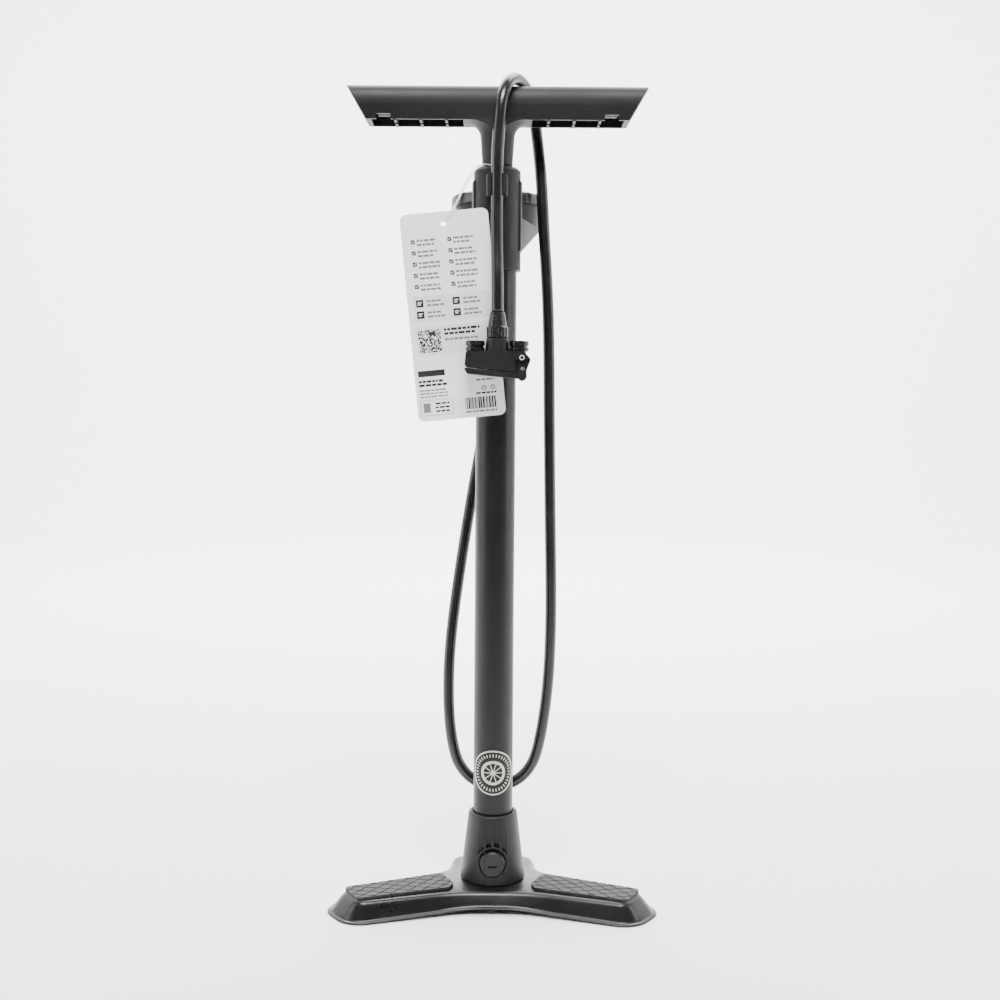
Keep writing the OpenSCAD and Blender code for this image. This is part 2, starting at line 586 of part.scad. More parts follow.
module head_outline() {
    polygon(rounded([[-head_len / 2, head_bot + 1], [head_len / 2 - 3, head_bot - 4], [head_len / 2 + 1, head_bot + 7],
        [head_len / 2 - 5, head_top], [-head_len / 2 + 1, head_top]], [2, 2, 3, 2.5, 2.5]));
}
module head_body() {
    color("#202225") at_head() difference() {
        union() {
            translate([0, head_d / 2, 0]) rotate([90, 0, 0]) linear_extrude(head_d) head_outline();
            translate([0, 0, head_top - 4]) cylinder(r1 = nut_r + 1.4, r2 = nut_r, h = 14);
        }
        // the two valve ports and the way between them
        for (side = [-1, 1]) translate([side * port_x, 0, head_top - 10]) cylinder(r = 5.4, h = 20);
        translate([-port_x, 0, head_top - 6]) rotate([0, 90, 0]) cylinder(r = 1.6, h = 2 * port_x);
        translate([0, 0, head_top - 6]) cylinder(r = 2, h = 30);
        translate([0, 0, head_top + 5]) cylinder(r = 4.2, h = 10);
        // room for the lever's ears
        for (side = [-1, 1]) translate([pin_x - 6, side * head_d / 2 - ear_slot, head_bot - 7])
            cube([14, 2 * ear_slot, 14]);
        translate([pin_x, 0, pin_z]) along_y(-head_d, head_d, pin_r);
    }
}
module head_hose_nut() {
    color("#17181a") at_head() translate([0, 0, head_top + 10]) difference() {
        union() {
            turned(nut_r, 9, 0.8);
            translate([0, 0, 8]) cylinder(r1 = nut_r - 0.8, r2 = hose_d / 2 + 0.9, h = 12);
            translate([0, 0, -4.8]) cylinder(r = 4.1, h = 6);
        }
        translate([0, 0, -6]) cylinder(r = 2, h = 40);
        for (k = [0:11]) rotate([0, 0, 30 * k]) translate([nut_r + 0.7, 0, -1]) cylinder(r = 1.3, h = 9, $fn = 24);
    }
}
module valve_collar(bore) {
    difference() {
        union() {
            translate([0, 0, head_top]) turned(port_r, 3, 0.4);
            translate([0, 0, head_top + 2.9]) cylinder(r = port_r - 1, h = 1.4);
            translate([0, 0, head_top + 4]) turned(port_r, 4, 0.5);
            translate([0, 0, head_top - 3]) cylinder(r = 5.38, h = 5);
        }
        translate([0, 0, head_top - 4]) cylinder(r = bore, h = 20);
    }
}
presta_r = 3.2;
schrader_r = 4.0;
module presta_collar() { color("#2b2d30") at_head() translate([-port_x, 0, 0]) valve_collar(presta_r); }
module schrader_collar() { color("#2b2d30") at_head() translate([port_x, 0, 0]) valve_collar(schrader_r); }
module presta_gasket() {
    color("#0f0f10") at_head() translate([-port_x, 0, head_top - 8]) ring(5.3, 2.7, 5);
}
module schrader_gasket() {
    color("#0f0f10") at_head() translate([port_x, 0, head_top - 8]) ring(5.3, 3.5, 5);
}
// the lever lies under the body, hinged near the end away from its thumb rest
ear_t = 2.4;
lever_half = head_d / 2 - 0.2;
module head_lever() {
    color("#33363a") at_head() difference() {
        union() {
            translate([0, lever_half, 0]) rotate([90, 0, 0]) linear_extrude(2 * lever_half)
                polygon(rounded([[-head_len / 2 - 1, head_bot + 0.2], [-head_len / 2 + 2, head_bot - 4.4],
                    [pin_x - 1, head_bot - 8.2], [pin_x + 3.4, head_bot - 7.6], [pin_x + 3.4, head_bot - 4.4],
                    [pin_x - 5, head_bot - 3.6]], [1, 1.6, 1.6, 1, 0.6, 1]));
            for (side = [-1, 1]) translate([pin_x, side * (lever_half - ear_t / 2) - ear_t / 2, 0]) lever_ear();
        }
        translate([pin_x, 0, pin_z]) along_y(-head_d, head_d, pin_r + run_gap);
        // the fork: nothing between the ears, so that it clears the body as it swings down
        translate([pin_x - 4.5, ear_t - lever_half, head_bot - 20]) cube([20, 2 * (lever_half - ear_t), 30]);
        // thumb rest
        for (k = [0:3]) translate([3 * k - head_len / 2 + 4, 0, head_bot - 5.4 - 0.25 * k])
            along_y(-head_d, head_d, 0.6);
    }
}
module lever_ear() {
    hull() for (z = [pin_z, pin_z - 6]) translate([0, 0, z]) rotate([-90, 0, 0])
        cylinder(r = 3.2, h = ear_t, $fn = 32);
}
module lever_pin() {
    color("silver") at_head() translate([pin_x, 0, pin_z]) along_y(-head_d / 2 + 0.1, head_d / 2 - 0.1, pin_r);
}

// ---- handle ---------------------------------------------------------------------------------
bar_half = bar_d / 2;
pocket_x = 27;                                 // solid middle, from the axis
pocket_end = handle_len / 2 - bar_h * tan(end_slant) - 4;
// half profile of the bar: flat skirts, a round crown
function bar_profile(w, z0, z1, n = 18) = let (h = z1 - z0, k = 2.6) concat([[w * 0.93, z0]],
    [for (i = [0:n]) let (a = 90 * i / n) [w * pow(cos(a), 2 / k), z0 + h * 0.42 + h * 0.58 * pow(sin(a), 2 / k)]]);
module bar_shape(w, z0, z1, x0, x1) {
    p = bar_profile(w, z0, z1);
    translate([x0, 0, 0]) rotate([90, 0, 90]) linear_extrude(x1 - x0) polygon(both_sides(p));
}
module handle_bar() {
    difference() {
        bar_shape(bar_half, bar_z0, bar_z1, -handle_len / 2, handle_len / 2);
        for (side = [0, 1]) mirror([side, 0, 0]) translate([handle_len / 2, 0, bar_z1])
            rotate([0, end_slant, 0]) translate([0, -50, -100]) cube([100, 100, 200]);
    }
}
fillet_r = 12;
module handle_stem() {
    intersection() {
        rotate_extrude() polygon(concat([[0, stem_z], [stem_r - 0.6, stem_z], [stem_r, stem_z + 0.6],
            [stem_r1, bar_z0 - fillet_r]],
            [for (k = [1:10]) [stem_r1 + fillet_r * (1 - cos(9 * k)), bar_z0 - fillet_r + fillet_r * sin(9 * k)]],
            [[stem_r1 + fillet_r, bar_z0 + 4], [0, bar_z0 + 4]]));
        translate([-60, -bar_half * 0.94, stem_z - 1]) cube([120, bar_half * 1.88, 80]);
    }
}
window_x = pocket_end - 15.3;                  // the windows that show the stored fittings
rib_x = [for (x = [2 * rib_pitch:rib_pitch:window_x - 3]) x];
needle_end = 45.5;                             // inner ends of the stored needle and nozzle
nozzle_end = 53.5;
window_w = 11;
store_z = bar_z0 + 9;
module handle_shell() {
    color("#2b2c2e") difference() {
        union() {
            difference() {
                handle_bar();
                for (side = [0, 1]) mirror([side, 0, 0])
                    bar_shape(bar_half - handle_wall, bar_z0 - 12, bar_z1 - handle_wall, pocket_x, pocket_end);
            }
            handle_stem();
            for (side = [-1, 1], x = rib_x) translate([side * x - 1, -bar_half + 2, bar_z0 - 0.6])
                cube([2, bar_d - 4, bar_h * 0.62]);
        }
        // rod socket and the pocket of its nut
        translate([0, 0, stem_z - 1]) cylinder(r = rod_r + 0.02, h = bar_z1 - 9 - stem_z);
        translate([0, 0, bar_z0 - 2]) rotate([0, 0, 30]) cylinder(r = 9.6, h = 8, $fn = 6);
        // seats for the stored needle and nozzle
        for (side = [0, 1]) mirror([side, 0, 0]) translate([38, 0, store_z]) {
            rotate([0, 90, 0]) cylinder(r = 2.6, h = pocket_end - 38);
            translate([0, -2.2, -12]) cube([pocket_end - 38, 4.4, 12]);
        }
        for (side = [-1, 1]) translate([side * (window_x + window_w / 2), -bar_half + 2, bar_z0])
            cube([window_w, 10, 8], center = true);
    }
}
module handle_nut() {
    color("silver") translate([0, 0, bar_z0 - 1.9]) difference() {
        rotate([0, 0, 30]) cylinder(r = 9.4, h = 7.9, $fn = 6);
        translate([0, 0, -1]) cylinder(r = rod_r + 0.02, h = 12);
    }
}
module ball_needle() {
    color("gainsboro") translate([-window_x - window_w, 0, store_z]) rotate([0, 90, 0]) difference() {
        union() {
            turned(4.2, window_w, 0.5);
            translate([0, 0, window_w - 0.5]) cylinder(r1 = 2.4, r2 = 1.2, h = 5);
            translate([0, 0, window_w]) cylinder(r = 1.1, h = window_x - needle_end);
        }
        translate([0, 0, -1]) cylinder(r = 0.6, h = window_x - needle_end + 6);
    }
}
module taper_nozzle() {
    color("#e8e4da") translate([window_x + window_w, 0, store_z]) rotate([0, -90, 0]) difference() {
        union() {
            turned(4.2, window_w, 0.5);
            translate([0, 0, window_w - 0.5]) cylinder(r1 = 2.5, r2 = 1.7, h = window_x - nozzle_end);
        }
        translate([0, 0, -1]) cylinder(r = 0.9, h = 44);
    }
}

// ---- rod and piston -------------------------------------------------------------------------
module piston_rod() {
    color("silver") translate([0, 0, piston_z - 2]) cylinder(r = rod_r, h = bar_z1 - 11 - piston_z + 2);
}
module piston_body() {
    color("whitesmoke") translate([0, 0, piston_z + 6]) difference() {
        turned(cyl_bore - 0.3, piston_h - 4, 0.6);
        translate([0, 0, -1]) cylinder(r = rod_r + 0.01, h = piston_h);
    }
}
module piston_cup() {
    color("#18181a") translate([0, 0, piston_z]) difference() {
        cylinder(r = cyl_bore - run_gap, h = 6);
        translate([0, 0, -1]) cylinder(r = rod_r + 0.01, h = 10);
        translate([0, 0, -1]) cylinder(r1 = cyl_bore - 0.9, r2 = cyl_bore - 2.2, h = 4.5);
    }
}
module piston_nut() {
    color("silver") translate([0, 0, piston_z - 0.4]) difference() {
        cylinder(r = rod_r + 2.6, h = 3.8, $fn = 6);
        translate([0, 0, -1]) cylinder(r = rod_r + 0.01, h = 8);
    }
}

// ---- hang tag -------------------------------------------------------------------------------
tag_y = -22.6;
tag_tilt = -5.6;
tag_top_left = [-76, cap_top - 40];
hole_in = [33.5, -9.5];                        // hole from the card's upper left corner
tag_hole = [for (v = [[cos(-tag_tilt), -sin(-tag_tilt)] * hole_in, [sin(-tag_tilt), cos(-tag_tilt)] * hole_in]) v]
    + tag_top_left;
module hang_tag() {
    color("white") translate([tag_top_left[0], tag_y + 0.3, tag_top_left[1]]) rotate([0, tag_tilt, 0])
        rotate([90, 0, 0]) linear_extrude(0.6) difference() {
            polygon(rounded([[0, -tag_h], [tag_w, -tag_h], [tag_w, 0], [0, 0]], [5, 5, 5, 5]));
            translate(hole_in) circle(r = 2.2);
        }
}
// the plastic loop: up behind the card, round the rod above the cap, and down in front of the card
string_z = cap_top + 0.75;
string_r = bumper_r + 1;
string_low = [tag_hole[0], tag_y, tag_hole[1] + 1.5];
tag_string = concat(
    [string_low + [0, 0.5, 0], string_low + [1.5, 2, 3], [-32, -20.6, cap_top - 30],
        [-24, -19, cap_top - 12], [-17, -13.5, cap_top - 0.6], [-12, -9.5, string_z]],
    [for (a = [200:-45:-70]) string_r * [cos(a), sin(a), 0] + [0, 0, string_z]],
    [[-5, -13, string_z], [-10.5, -15.8, string_z - 0.1], [-17, -18, cap_top - 4], [-25, -22.5, cap_top - 18],
        [-34, -24.6, cap_top - 36], string_low + [1.5, -2, 3], string_low + [0, -0.5, 0]]);
module tag_loop() {
    color("white") tube_along(smooth_route(tag_string, 2), 0.42, 6);
}

base_plate();
foot_tread_left();
foot_tread_right();
base_neck();
neck_screws();
check_valve_plug();
plug_oring();
check_valve_seat();
check_valve_poppet();
check_valve_spring();
barrel();
inner_cylinder();
barrel_badge();
top_housing();
rod_bush();
rod_wiper();
stop_bumper();
gauge_movement();
gauge_dial();
gauge_lens();
gauge_needle();
bezel_ring();
target_marker();
release_button();
button_spring();
hose_barb();
hose_ferrule();
hose_loop();
hose_crown();
hose_drop();
head_body();
head_hose_nut();
presta_collar();
schrader_collar();
presta_gasket();
schrader_gasket();
head_lever();
lever_pin();
handle_shell();
handle_nut();
ball_needle();
taper_nozzle();
piston_rod();
piston_body();
piston_cup();
piston_nut();
hang_tag();
tag_loop();
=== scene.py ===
import math
import bpy
import numpy as np
from mathutils import Euler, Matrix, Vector


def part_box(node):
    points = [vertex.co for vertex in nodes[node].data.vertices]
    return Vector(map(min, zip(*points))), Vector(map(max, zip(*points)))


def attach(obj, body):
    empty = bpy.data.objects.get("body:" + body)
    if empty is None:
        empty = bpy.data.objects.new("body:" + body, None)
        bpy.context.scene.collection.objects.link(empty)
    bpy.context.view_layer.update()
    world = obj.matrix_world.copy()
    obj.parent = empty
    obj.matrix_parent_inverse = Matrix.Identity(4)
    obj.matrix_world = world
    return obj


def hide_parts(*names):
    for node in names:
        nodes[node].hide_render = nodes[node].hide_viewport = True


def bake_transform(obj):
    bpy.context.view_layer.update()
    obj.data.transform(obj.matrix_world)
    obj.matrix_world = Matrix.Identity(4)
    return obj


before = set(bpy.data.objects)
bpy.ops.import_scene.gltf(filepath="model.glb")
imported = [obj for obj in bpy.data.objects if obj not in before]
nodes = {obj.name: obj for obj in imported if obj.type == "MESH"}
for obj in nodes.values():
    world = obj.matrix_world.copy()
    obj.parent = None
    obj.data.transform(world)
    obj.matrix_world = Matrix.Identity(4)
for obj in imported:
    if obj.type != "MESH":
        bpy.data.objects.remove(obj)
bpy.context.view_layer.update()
MM = 0.001
rng = np.random.default_rng(26)  # draws the lengths and gaps of the card's print

# ---- camera -----------------------------------------------------------------------------------
CAMERA_DOWN, CAMERA_ROLL = 4.2, 0.42  # degrees that it looks down, and that it is rolled
camera_data = bpy.data.cameras.new("camera")
camera_data.lens = 45.36
camera_data.sensor_width = 36
camera_data.clip_end = 50
camera = bpy.data.objects.new("camera", camera_data)
bpy.context.scene.collection.objects.link(camera)
camera.location = (0.004, -1.0146, 0.4008)
camera.rotation_mode = "QUATERNION"
tilt = Euler((math.radians(90 - CAMERA_DOWN), 0, 0)).to_quaternion()
camera.rotation_quaternion = tilt @ Euler((0, 0, math.radians(CAMERA_ROLL))).to_quaternion()
bpy.context.scene.camera = camera


# ---- making meshes ----------------------------------------------------------------------------
def grid_faces(rows, cols, closed=False):
    """Quads over a grid of points. Quad (i, j) joins points (i, j), (i, j+1), (i+1, j+1) and (i+1, j);
    where closed, the last column joins the first."""
    i, j = np.meshgrid(np.arange(rows - 1), np.arange(cols if closed else cols - 1), indexing="ij")
    i, j = i.ravel(), j.ravel()
    k = (j + 1) % cols
    return np.stack([i * cols + j, i * cols + k, (i + 1) * cols + k, (i + 1) * cols + j], axis=1)


def make_piece(name, points, faces, material, body=None, smooth=True, uv=None):
    """A piece from points (n, 3) in metres and a list of faces. It rides on a body, if one is named.
    uv gives two values for each point."""
    mesh = bpy.data.meshes.new(name)
    mesh.from_pydata(points.tolist(), [], faces)
    mesh.polygons.foreach_set("use_smooth", np.full(len(mesh.polygons), smooth))
    if uv is not None:
        corner = np.zeros(len(mesh.loops), dtype=np.int32)
        mesh.loops.foreach_get("vertex_index", corner)
        mesh.uv_layers.new(name="UVMap").data.foreach_set("uv", uv[corner].ravel())
    mesh.materials.append(material)
    mesh.update()
    piece = bpy.data.objects.new(name, mesh)
    bpy.context.scene.collection.objects.link(piece)
    if body:
        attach(piece, body)
    return piece


def closed_loft(rings):
    """Points and faces of a solid through equal rings, shape (rings, points, 3). Its sides are the grid of
    quads, and each end is a fan of triangles about the mean of its ring."""
    count, around = rings.shape[:2]
    points = np.concatenate([rings.reshape(-1, 3), rings[[0, -1]].mean(axis=1)])
    j = np.arange(around)
    k = (j + 1) % around
    last = (count - 1) * around
    start = np.stack([np.full(around, count * around), k, j], axis=1)
    end = np.stack([np.full(around, count * around + 1), last + j, last + k], axis=1)
    return points, grid_faces(count, around, True).tolist() + start.tolist() + end.tolist()


def smoothstep(x, low, high):
    """0 below low, 1 above high, and 3t^2 - 2t^3 between them."""
    t = np.clip((x - low) / (high - low), 0, 1)
    return t * t * (3 - 2 * t)


def spline(points, step):
    """Points about a step apart on the natural cubic spline through the given ones, taken over the length of
    the chords. Its second derivatives at the knots solve the usual three-term equations."""
    h = np.linalg.norm(np.diff(points, axis=0), axis=1)
    knots = np.concatenate([[0], np.cumsum(h)])
    n = len(points)
    terms, right = np.eye(n), np.zeros((n, 3))
    slope = np.diff(points, axis=0) / h[:, None]
    inner = np.arange(1, n - 1)
    terms[inner, inner - 1], terms[inner, inner + 1] = h[:-1], h[1:]
    terms[inner, inner] = 2 * (h[:-1] + h[1:])
    right[1:-1] = 6 * np.diff(slope, axis=0)
    bend = np.linalg.solve(terms, right)
    at = np.linspace(0, knots[-1], int(knots[-1] / step) + 1)
    i = np.clip(np.searchsorted(knots, at, side="right") - 1, 0, n - 2)
    a, b, w = (knots[i + 1] - at)[:, None], (at - knots[i])[:, None], h[i][:, None]
    return (bend[i] * a**3 + bend[i + 1] * b**3) / (6 * w) + (points[i] / w - bend[i] * w / 6) * a \
        + (points[i + 1] / w - bend[i + 1] * w / 6) * b


def tube(path, radius, sides):
    """Rings of a round tube along a path: each point is the path's point plus radius times (cos a * side +
    sin a * across), where side is carried along without twisting."""
    along = np.gradient(path, axis=0)
    along /= np.linalg.norm(along, axis=1)[:, None]
    side = np.zeros_like(path)
    side[0] = np.cross(along[0], [0.0, 1.0, 0.1])
    for i in range(len(path)):
        carried = side[max(i - 1, 0)]
        carried = carried - carried @ along[i] * along[i]
        side[i] = carried / np.linalg.norm(carried)
    across = np.cross(along, side)
    a = np.linspace(0, 2 * math.pi, sides, endpoint=False)[None, :, None]
    return path[:, None] + radius * (np.cos(a) * side[:, None] + np.sin(a) * across[:, None])


# ---- making materials -------------------------------------------------------------------------
def hex_colour(text):
    """Linear RGBA of an sRGB hex colour such as #1a1a1c."""
    c = np.array([int(text[i:i + 2], 16) / 255 for i in (1, 3, 5)])
    linear = np.where(c <= 0.04045, c / 12.92, ((c + 0.055) / 1.055) ** 2.4)
    return (*linear, 1.0)


def new_material(name):
    """An empty node material with its Principled shader: (material, tree, shader)."""
    material = bpy.data.materials.new(name)
    material.use_nodes = True
    return material, material.node_tree, material.node_tree.nodes["Principled BSDF"]


def add(tree, kind, settings=None, **links):
    """A node of that kind, with its properties or inputs set, and its inputs linked from other sockets.
    A setting whose name is an input fills the input, and any other is a property of the node."""
    made = tree.nodes.new(kind)
    for key, value in (settings or {}).items():
        if isinstance(key, int) or key in made.inputs:
            made.inputs[key].default_value = value
        else:
            setattr(made, key, value)
    for key, socket in links.items():
        tree.links.new(socket, made.inputs[int(key[1:]) if key[0] == "_" else key])
    return made


def ramp(tree, factor, stops):
    """A colour ramp over factor with (position, colour) stops."""
    made = add(tree, "ShaderNodeValToRGB", Fac=factor)
    made.color_ramp.elements[0].position, made.color_ramp.elements[0].color = stops[0]
    made.color_ramp.elements[1].position, made.color_ramp.elements[1].color = stops[-1]
    for position, colour in stops[1:-1]:
        made.color_ramp.elements.new(position).color = colour
    return made


def per_metre(mm):
    """Noise scale for a feature of that size in millimetres, on coordinates in metres."""
    return 1000 / mm


def coated(name, colour, shade, roughness, spread, grain, depth, cloud=40, metallic=0.0, ior=None,
           specular=0.5):
    """A moulded, coated or plated surface. Its colour wanders from colour to shade over clouds of cloud mm,
    its roughness by spread, and its skin has a grain of that many mm and a bump of depth mm."""
    material, tree, shader = new_material(name)
    place = add(tree, "ShaderNodeTexCoord").outputs["Object"]
    clouds = add(tree, "ShaderNodeTexNoise", {"Scale": per_metre(cloud), "Detail": 5.0, "Roughness": 0.6},
                 Vector=place).outputs["Fac"]
    skin = add(tree, "ShaderNodeTexNoise", {"Scale": per_metre(grain), "Detail": 3.0, "Roughness": 0.55},
               Vector=place).outputs["Fac"]
    both = add(tree, "ShaderNodeMath", {"operation": "MULTIPLY_ADD", 1: 0.35},
               _0=skin, _2=clouds).outputs[0]
    tint = ramp(tree, both, [(0.42, hex_colour(shade)), (0.88, hex_colour(colour))])
    rough = add(tree, "ShaderNodeMapRange",
                {"From Min": 0.35, "From Max": 0.95,
                 "To Min": roughness - spread, "To Max": roughness + spread}, Value=both)
    bump = add(tree, "ShaderNodeBump", {"Strength": 1.0, "Distance": depth * MM}, Height=skin)
    tree.links.new(tint.outputs["Color"], shader.inputs["Base Color"])
    tree.links.new(rough.outputs["Result"], shader.inputs["Roughness"])
    tree.links.new(bump.outputs["Normal"], shader.inputs["Normal"])
    shader.inputs["Metallic"].default_value = metallic
    if ior:
        shader.inputs["IOR"].default_value = ior
    shader.inputs["Specular IOR Level"].default_value = specular
    return material


# glass-filled nylon from a spark-eroded mould: satin black, with a fine even pebble
satin_nylon = coated("satin_black_nylon", "#0e0e10", "#060607", 0.52, 0.06, 0.9, 0.03, ior=1.53,
                     specular=0.3)
# the same nylon in the neck, a little greyer where the mould was polished less
neck_nylon = coated("neck_nylon", "#111113", "#09090a", 0.44, 0.08, 1.1, 0.045, ior=1.53, specular=0.3)
# epoxy powder coat on drawn steel tube: soft sheen, slight orange peel
powder_coat = coated("black_powder_coat", "#0f0b0b", "#080606", 0.36, 0.06, 1.6, 0.022, cloud=70, ior=1.48,
                     specular=0.32)
# stoved enamel on pressed steel: smoother and glossier than the barrel
stove_enamel = coated("stove_enamel", "#0e0e0f", "#070708", 0.3, 0.07, 2.2, 0.015, cloud=60, ior=1.52,
                      specular=0.4)
# ABS, blue-grey, satin
grey_abs = coated("blue_grey_abs", "#2c3238", "#21262b", 0.4, 0.06, 0.8, 0.02, ior=1.53)
# glossy black acetal of nuts and collars
gloss_acetal = coated("gloss_black_acetal", "#17181a", "#0f1011", 0.28, 0.05, 1.2, 0.008, ior=1.48)
# nitrile rubber of seals and bumper
nitrile = coated("nitrile_rubber", "#141414", "#0c0c0c", 0.68, 0.08, 0.7, 0.03, ior=1.52)
# natural acetal: milky and a little waxy
natural_acetal = coated("natural_acetal", "#e8e5dc", "#d9d5ca", 0.38, 0.05, 1.5, 0.006, ior=1.48)
# zinc plate: bright, slightly cloudy
zinc_plate = coated("zinc_plate", "#c9ccd0", "#a5a9b0", 0.3, 0.1, 2.5, 0.004, cloud=9, metallic=1.0)
# nickel plate on the stored needle, its colour darkened as painted shade for the slot it sits in, where it
# hardly shows
needle_nickel_painted_shade = coated("nickel_plate_painted_shade", "#4a4846", "#3a3836", 0.24, 0.05, 3.0, 0.002, metallic=1.0)
# turned brass, dulled a little
turned_brass = coated("turned_brass", "#d2ab5e", "#b08a45", 0.27, 0.08, 0.5, 0.004, cloud=12, metallic=1.0)
# red ABS of button, pointer and marker
red_abs = coated("red_abs", "#c8261c", "#ab1c15", 0.32, 0.05, 1.0, 0.008, ior=1.53)
# coated board of the hang tag: white, faintly warm, with a very slight fibre
coated_board = coated("coated_board", "#f3f4f3", "#e9ebea", 0.42, 0.08, 0.8, 0.012, cloud=25, ior=1.5)
# nylon monofilament loop
clear_nylon = coated("white_nylon_loop", "#f2f2ee", "#e2e2dd", 0.35, 0.05, 1.0, 0.004, ior=1.53)
# painted dial
dial_paint = coated("dial_paint", "#f4f4f0", "#ececea", 0.5, 0.04, 2.0, 0.002, ior=1.5)


def chrome_rod_material():
    """Hard chrome, ground round: a mirror with faint rings about the axis, drawn 3.77 mm apart so that they
    show. The wave repeats every 2 pi / 20 over its scale."""
    material, tree, shader = new_material("hard_chrome")
    place = add(tree, "ShaderNodeTexCoord").outputs["Object"]
    rings = add(tree, "ShaderNodeTexWave",
                {"wave_type": "BANDS", "bands_direction": "Z", "Scale": per_metre(3.77) * 2 * math.pi / 20,
                 "Distortion": 0.3, "Detail": 2.0}, Vector=place)
    rough = add(tree, "ShaderNodeMapRange", {"To Min": 0.07, "To Max": 0.16}, Value=rings.outputs["Fac"])
    bump = add(tree, "ShaderNodeBump", {"Strength": 0.4, "Distance": 0.004 * MM},
               Height=rings.outputs["Fac"])
    shader.inputs["Base Color"].default_value = hex_colour("#cfd2d5")
    shader.inputs["Metallic"].default_value = 1.0
    tree.links.new(rough.outputs["Result"], shader.inputs["Roughness"])
    tree.links.new(bump.outputs["Normal"], shader.inputs["Normal"])
    return material


def hose_material():
    """Extruded PVC-nitrile hose: glossy black, with faint die lines along it, 0.5 mm apart round the hose,
    and a little dust in clouds. It reads the hose's own map: u falls from 1 to 0 and rises again round the
    hose, so that the lines meet, and v is metres along."""
    material, tree, shader = new_material("extruded_hose_rubber")
    uv = add(tree, "ShaderNodeTexCoord").outputs["UV"]
    drawn = add(tree, "ShaderNodeMapping", {"Scale": (30.0, 3.0, 1.0)}, Vector=uv).outputs["Vector"]
    lines = add(tree, "ShaderNodeTexNoise", {"Scale": 1.0, "Detail": 2.0}, Vector=drawn).outputs["Fac"]
    place = add(tree, "ShaderNodeTexCoord").outputs["Object"]
    dust = add(tree, "ShaderNodeTexNoise", {"Scale": per_metre(30), "Detail": 3.0},
               Vector=place).outputs["Fac"]
    tint = ramp(tree, dust, [(0.4, hex_colour("#0d0d0e")), (0.8, hex_colour("#181819"))])
    rough = add(tree, "ShaderNodeMapRange",
                {"From Min": 0.3, "From Max": 0.7, "To Min": 0.22, "To Max": 0.28}, Value=dust)
    bump = add(tree, "ShaderNodeBump", {"Strength": 0.4, "Distance": 0.012 * MM}, Height=lines)
    tree.links.new(tint.outputs["Color"], shader.inputs["Base Color"])
    tree.links.new(rough.outputs["Result"], shader.inputs["Roughness"])
    tree.links.new(bump.outputs["Normal"], shader.inputs["Normal"])
    shader.inputs["IOR"].default_value = 1.52
    return material


def tread_material():
    """Moulded rubber tread: matt and dark, greyer on the worn top faces than in the grooves. Height above
    the floor tells them apart: a groove's bottom is at 17.8 mm, and the top faces are at 18.4 mm."""
    material, tree, shader = new_material("moulded_tread_rubber")
    place = add(tree, "ShaderNodeTexCoord").outputs["Object"]
    height = add(tree, "ShaderNodeSeparateXYZ", Vector=place).outputs["Z"]
    worn = add(tree, "ShaderNodeMapRange", {"From Min": 17.9 * MM, "From Max": 18.35 * MM}, Value=height)
    skin = add(tree, "ShaderNodeTexNoise", {"Scale": per_metre(0.8), "Detail": 4.0},
               Vector=place).outputs["Fac"]
    tint = add(tree, "ShaderNodeMix",
               {"data_type": "RGBA", 6: hex_colour("#070707"), 7: hex_colour("#161617")},
               _0=worn.outputs["Result"])
    rough = add(tree, "ShaderNodeMapRange", {"To Min": 0.52, "To Max": 0.74}, Value=skin)
    bump = add(tree, "ShaderNodeBump", {"Strength": 0.8, "Distance": 0.05 * MM}, Height=skin)
    tree.links.new(tint.outputs[2], shader.inputs["Base Color"])
    tree.links.new(rough.outputs["Result"], shader.inputs["Roughness"])
    tree.links.new(bump.outputs["Normal"], shader.inputs["Normal"])
    shader.inputs["IOR"].default_value = 1.52
    return material


def badge_material():
    """Struck aluminium badge: bright raised parts, and dark paint in the hollows, by the piece's relief
    values. A brushed grain 0.4 mm apart runs across it."""
    material, tree, shader = new_material("struck_aluminium_badge")
    relief = add(tree, "ShaderNodeAttribute", {"attribute_name": "relief"}).outputs["Fac"]
    place = add(tree, "ShaderNodeTexCoord").outputs["Object"]
    brushed = add(tree, "ShaderNodeMapping", {"Scale": (60.0, 60.0, 2500.0)}, Vector=place).outputs["Vector"]
    grain = add(tree, "ShaderNodeTexNoise", {"Scale": 1.0, "Detail": 3.0}, Vector=brushed).outputs["Fac"]
    raised = add(tree, "ShaderNodeMapRange", {"From Min": 0.3, "From Max": 0.7},
                 Value=relief).outputs["Result"]
    tint = add(tree, "ShaderNodeMix",
               {"data_type": "RGBA", 6: hex_colour("#282826"), 7: hex_colour("#b4b3ad")},
               _0=raised)
    rough = add(tree, "ShaderNodeMapRange", {"To Min": 0.28, "To Max": 0.46}, Value=grain)
    bump = add(tree, "ShaderNodeBump", {"Strength": 0.3, "Distance": 0.01 * MM}, Height=grain)
    tree.links.new(tint.outputs[2], shader.inputs["Base Color"])
    tree.links.new(rough.outputs["Result"], shader.inputs["Roughness"])
    tree.links.new(bump.outputs["Normal"], shader.inputs["Normal"])
    shader.inputs["Metallic"].default_value = 0.85
    return material


def ink_material():
    """Offset ink: each face's own colour, about as glossy as the board, with a faint mottle of 1.5 mm."""
    material, tree, shader = new_material("offset_ink")
    ink = add(tree, "ShaderNodeAttribute", {"attribute_name": "ink"}).outputs["Color"]
    place = add(tree, "ShaderNodeTexCoord").outputs["Object"]
    mottle = add(tree, "ShaderNodeTexNoise", {"Scale": per_metre(1.5), "Detail": 3.0},
                 Vector=place).outputs["Fac"]
    rough = add(tree, "ShaderNodeMapRange", {"To Min": 0.32, "To Max": 0.5}, Value=mottle)
    tree.links.new(ink, shader.inputs["Base Color"])
    tree.links.new(rough.outputs["Result"], shader.inputs["Roughness"])
    return material


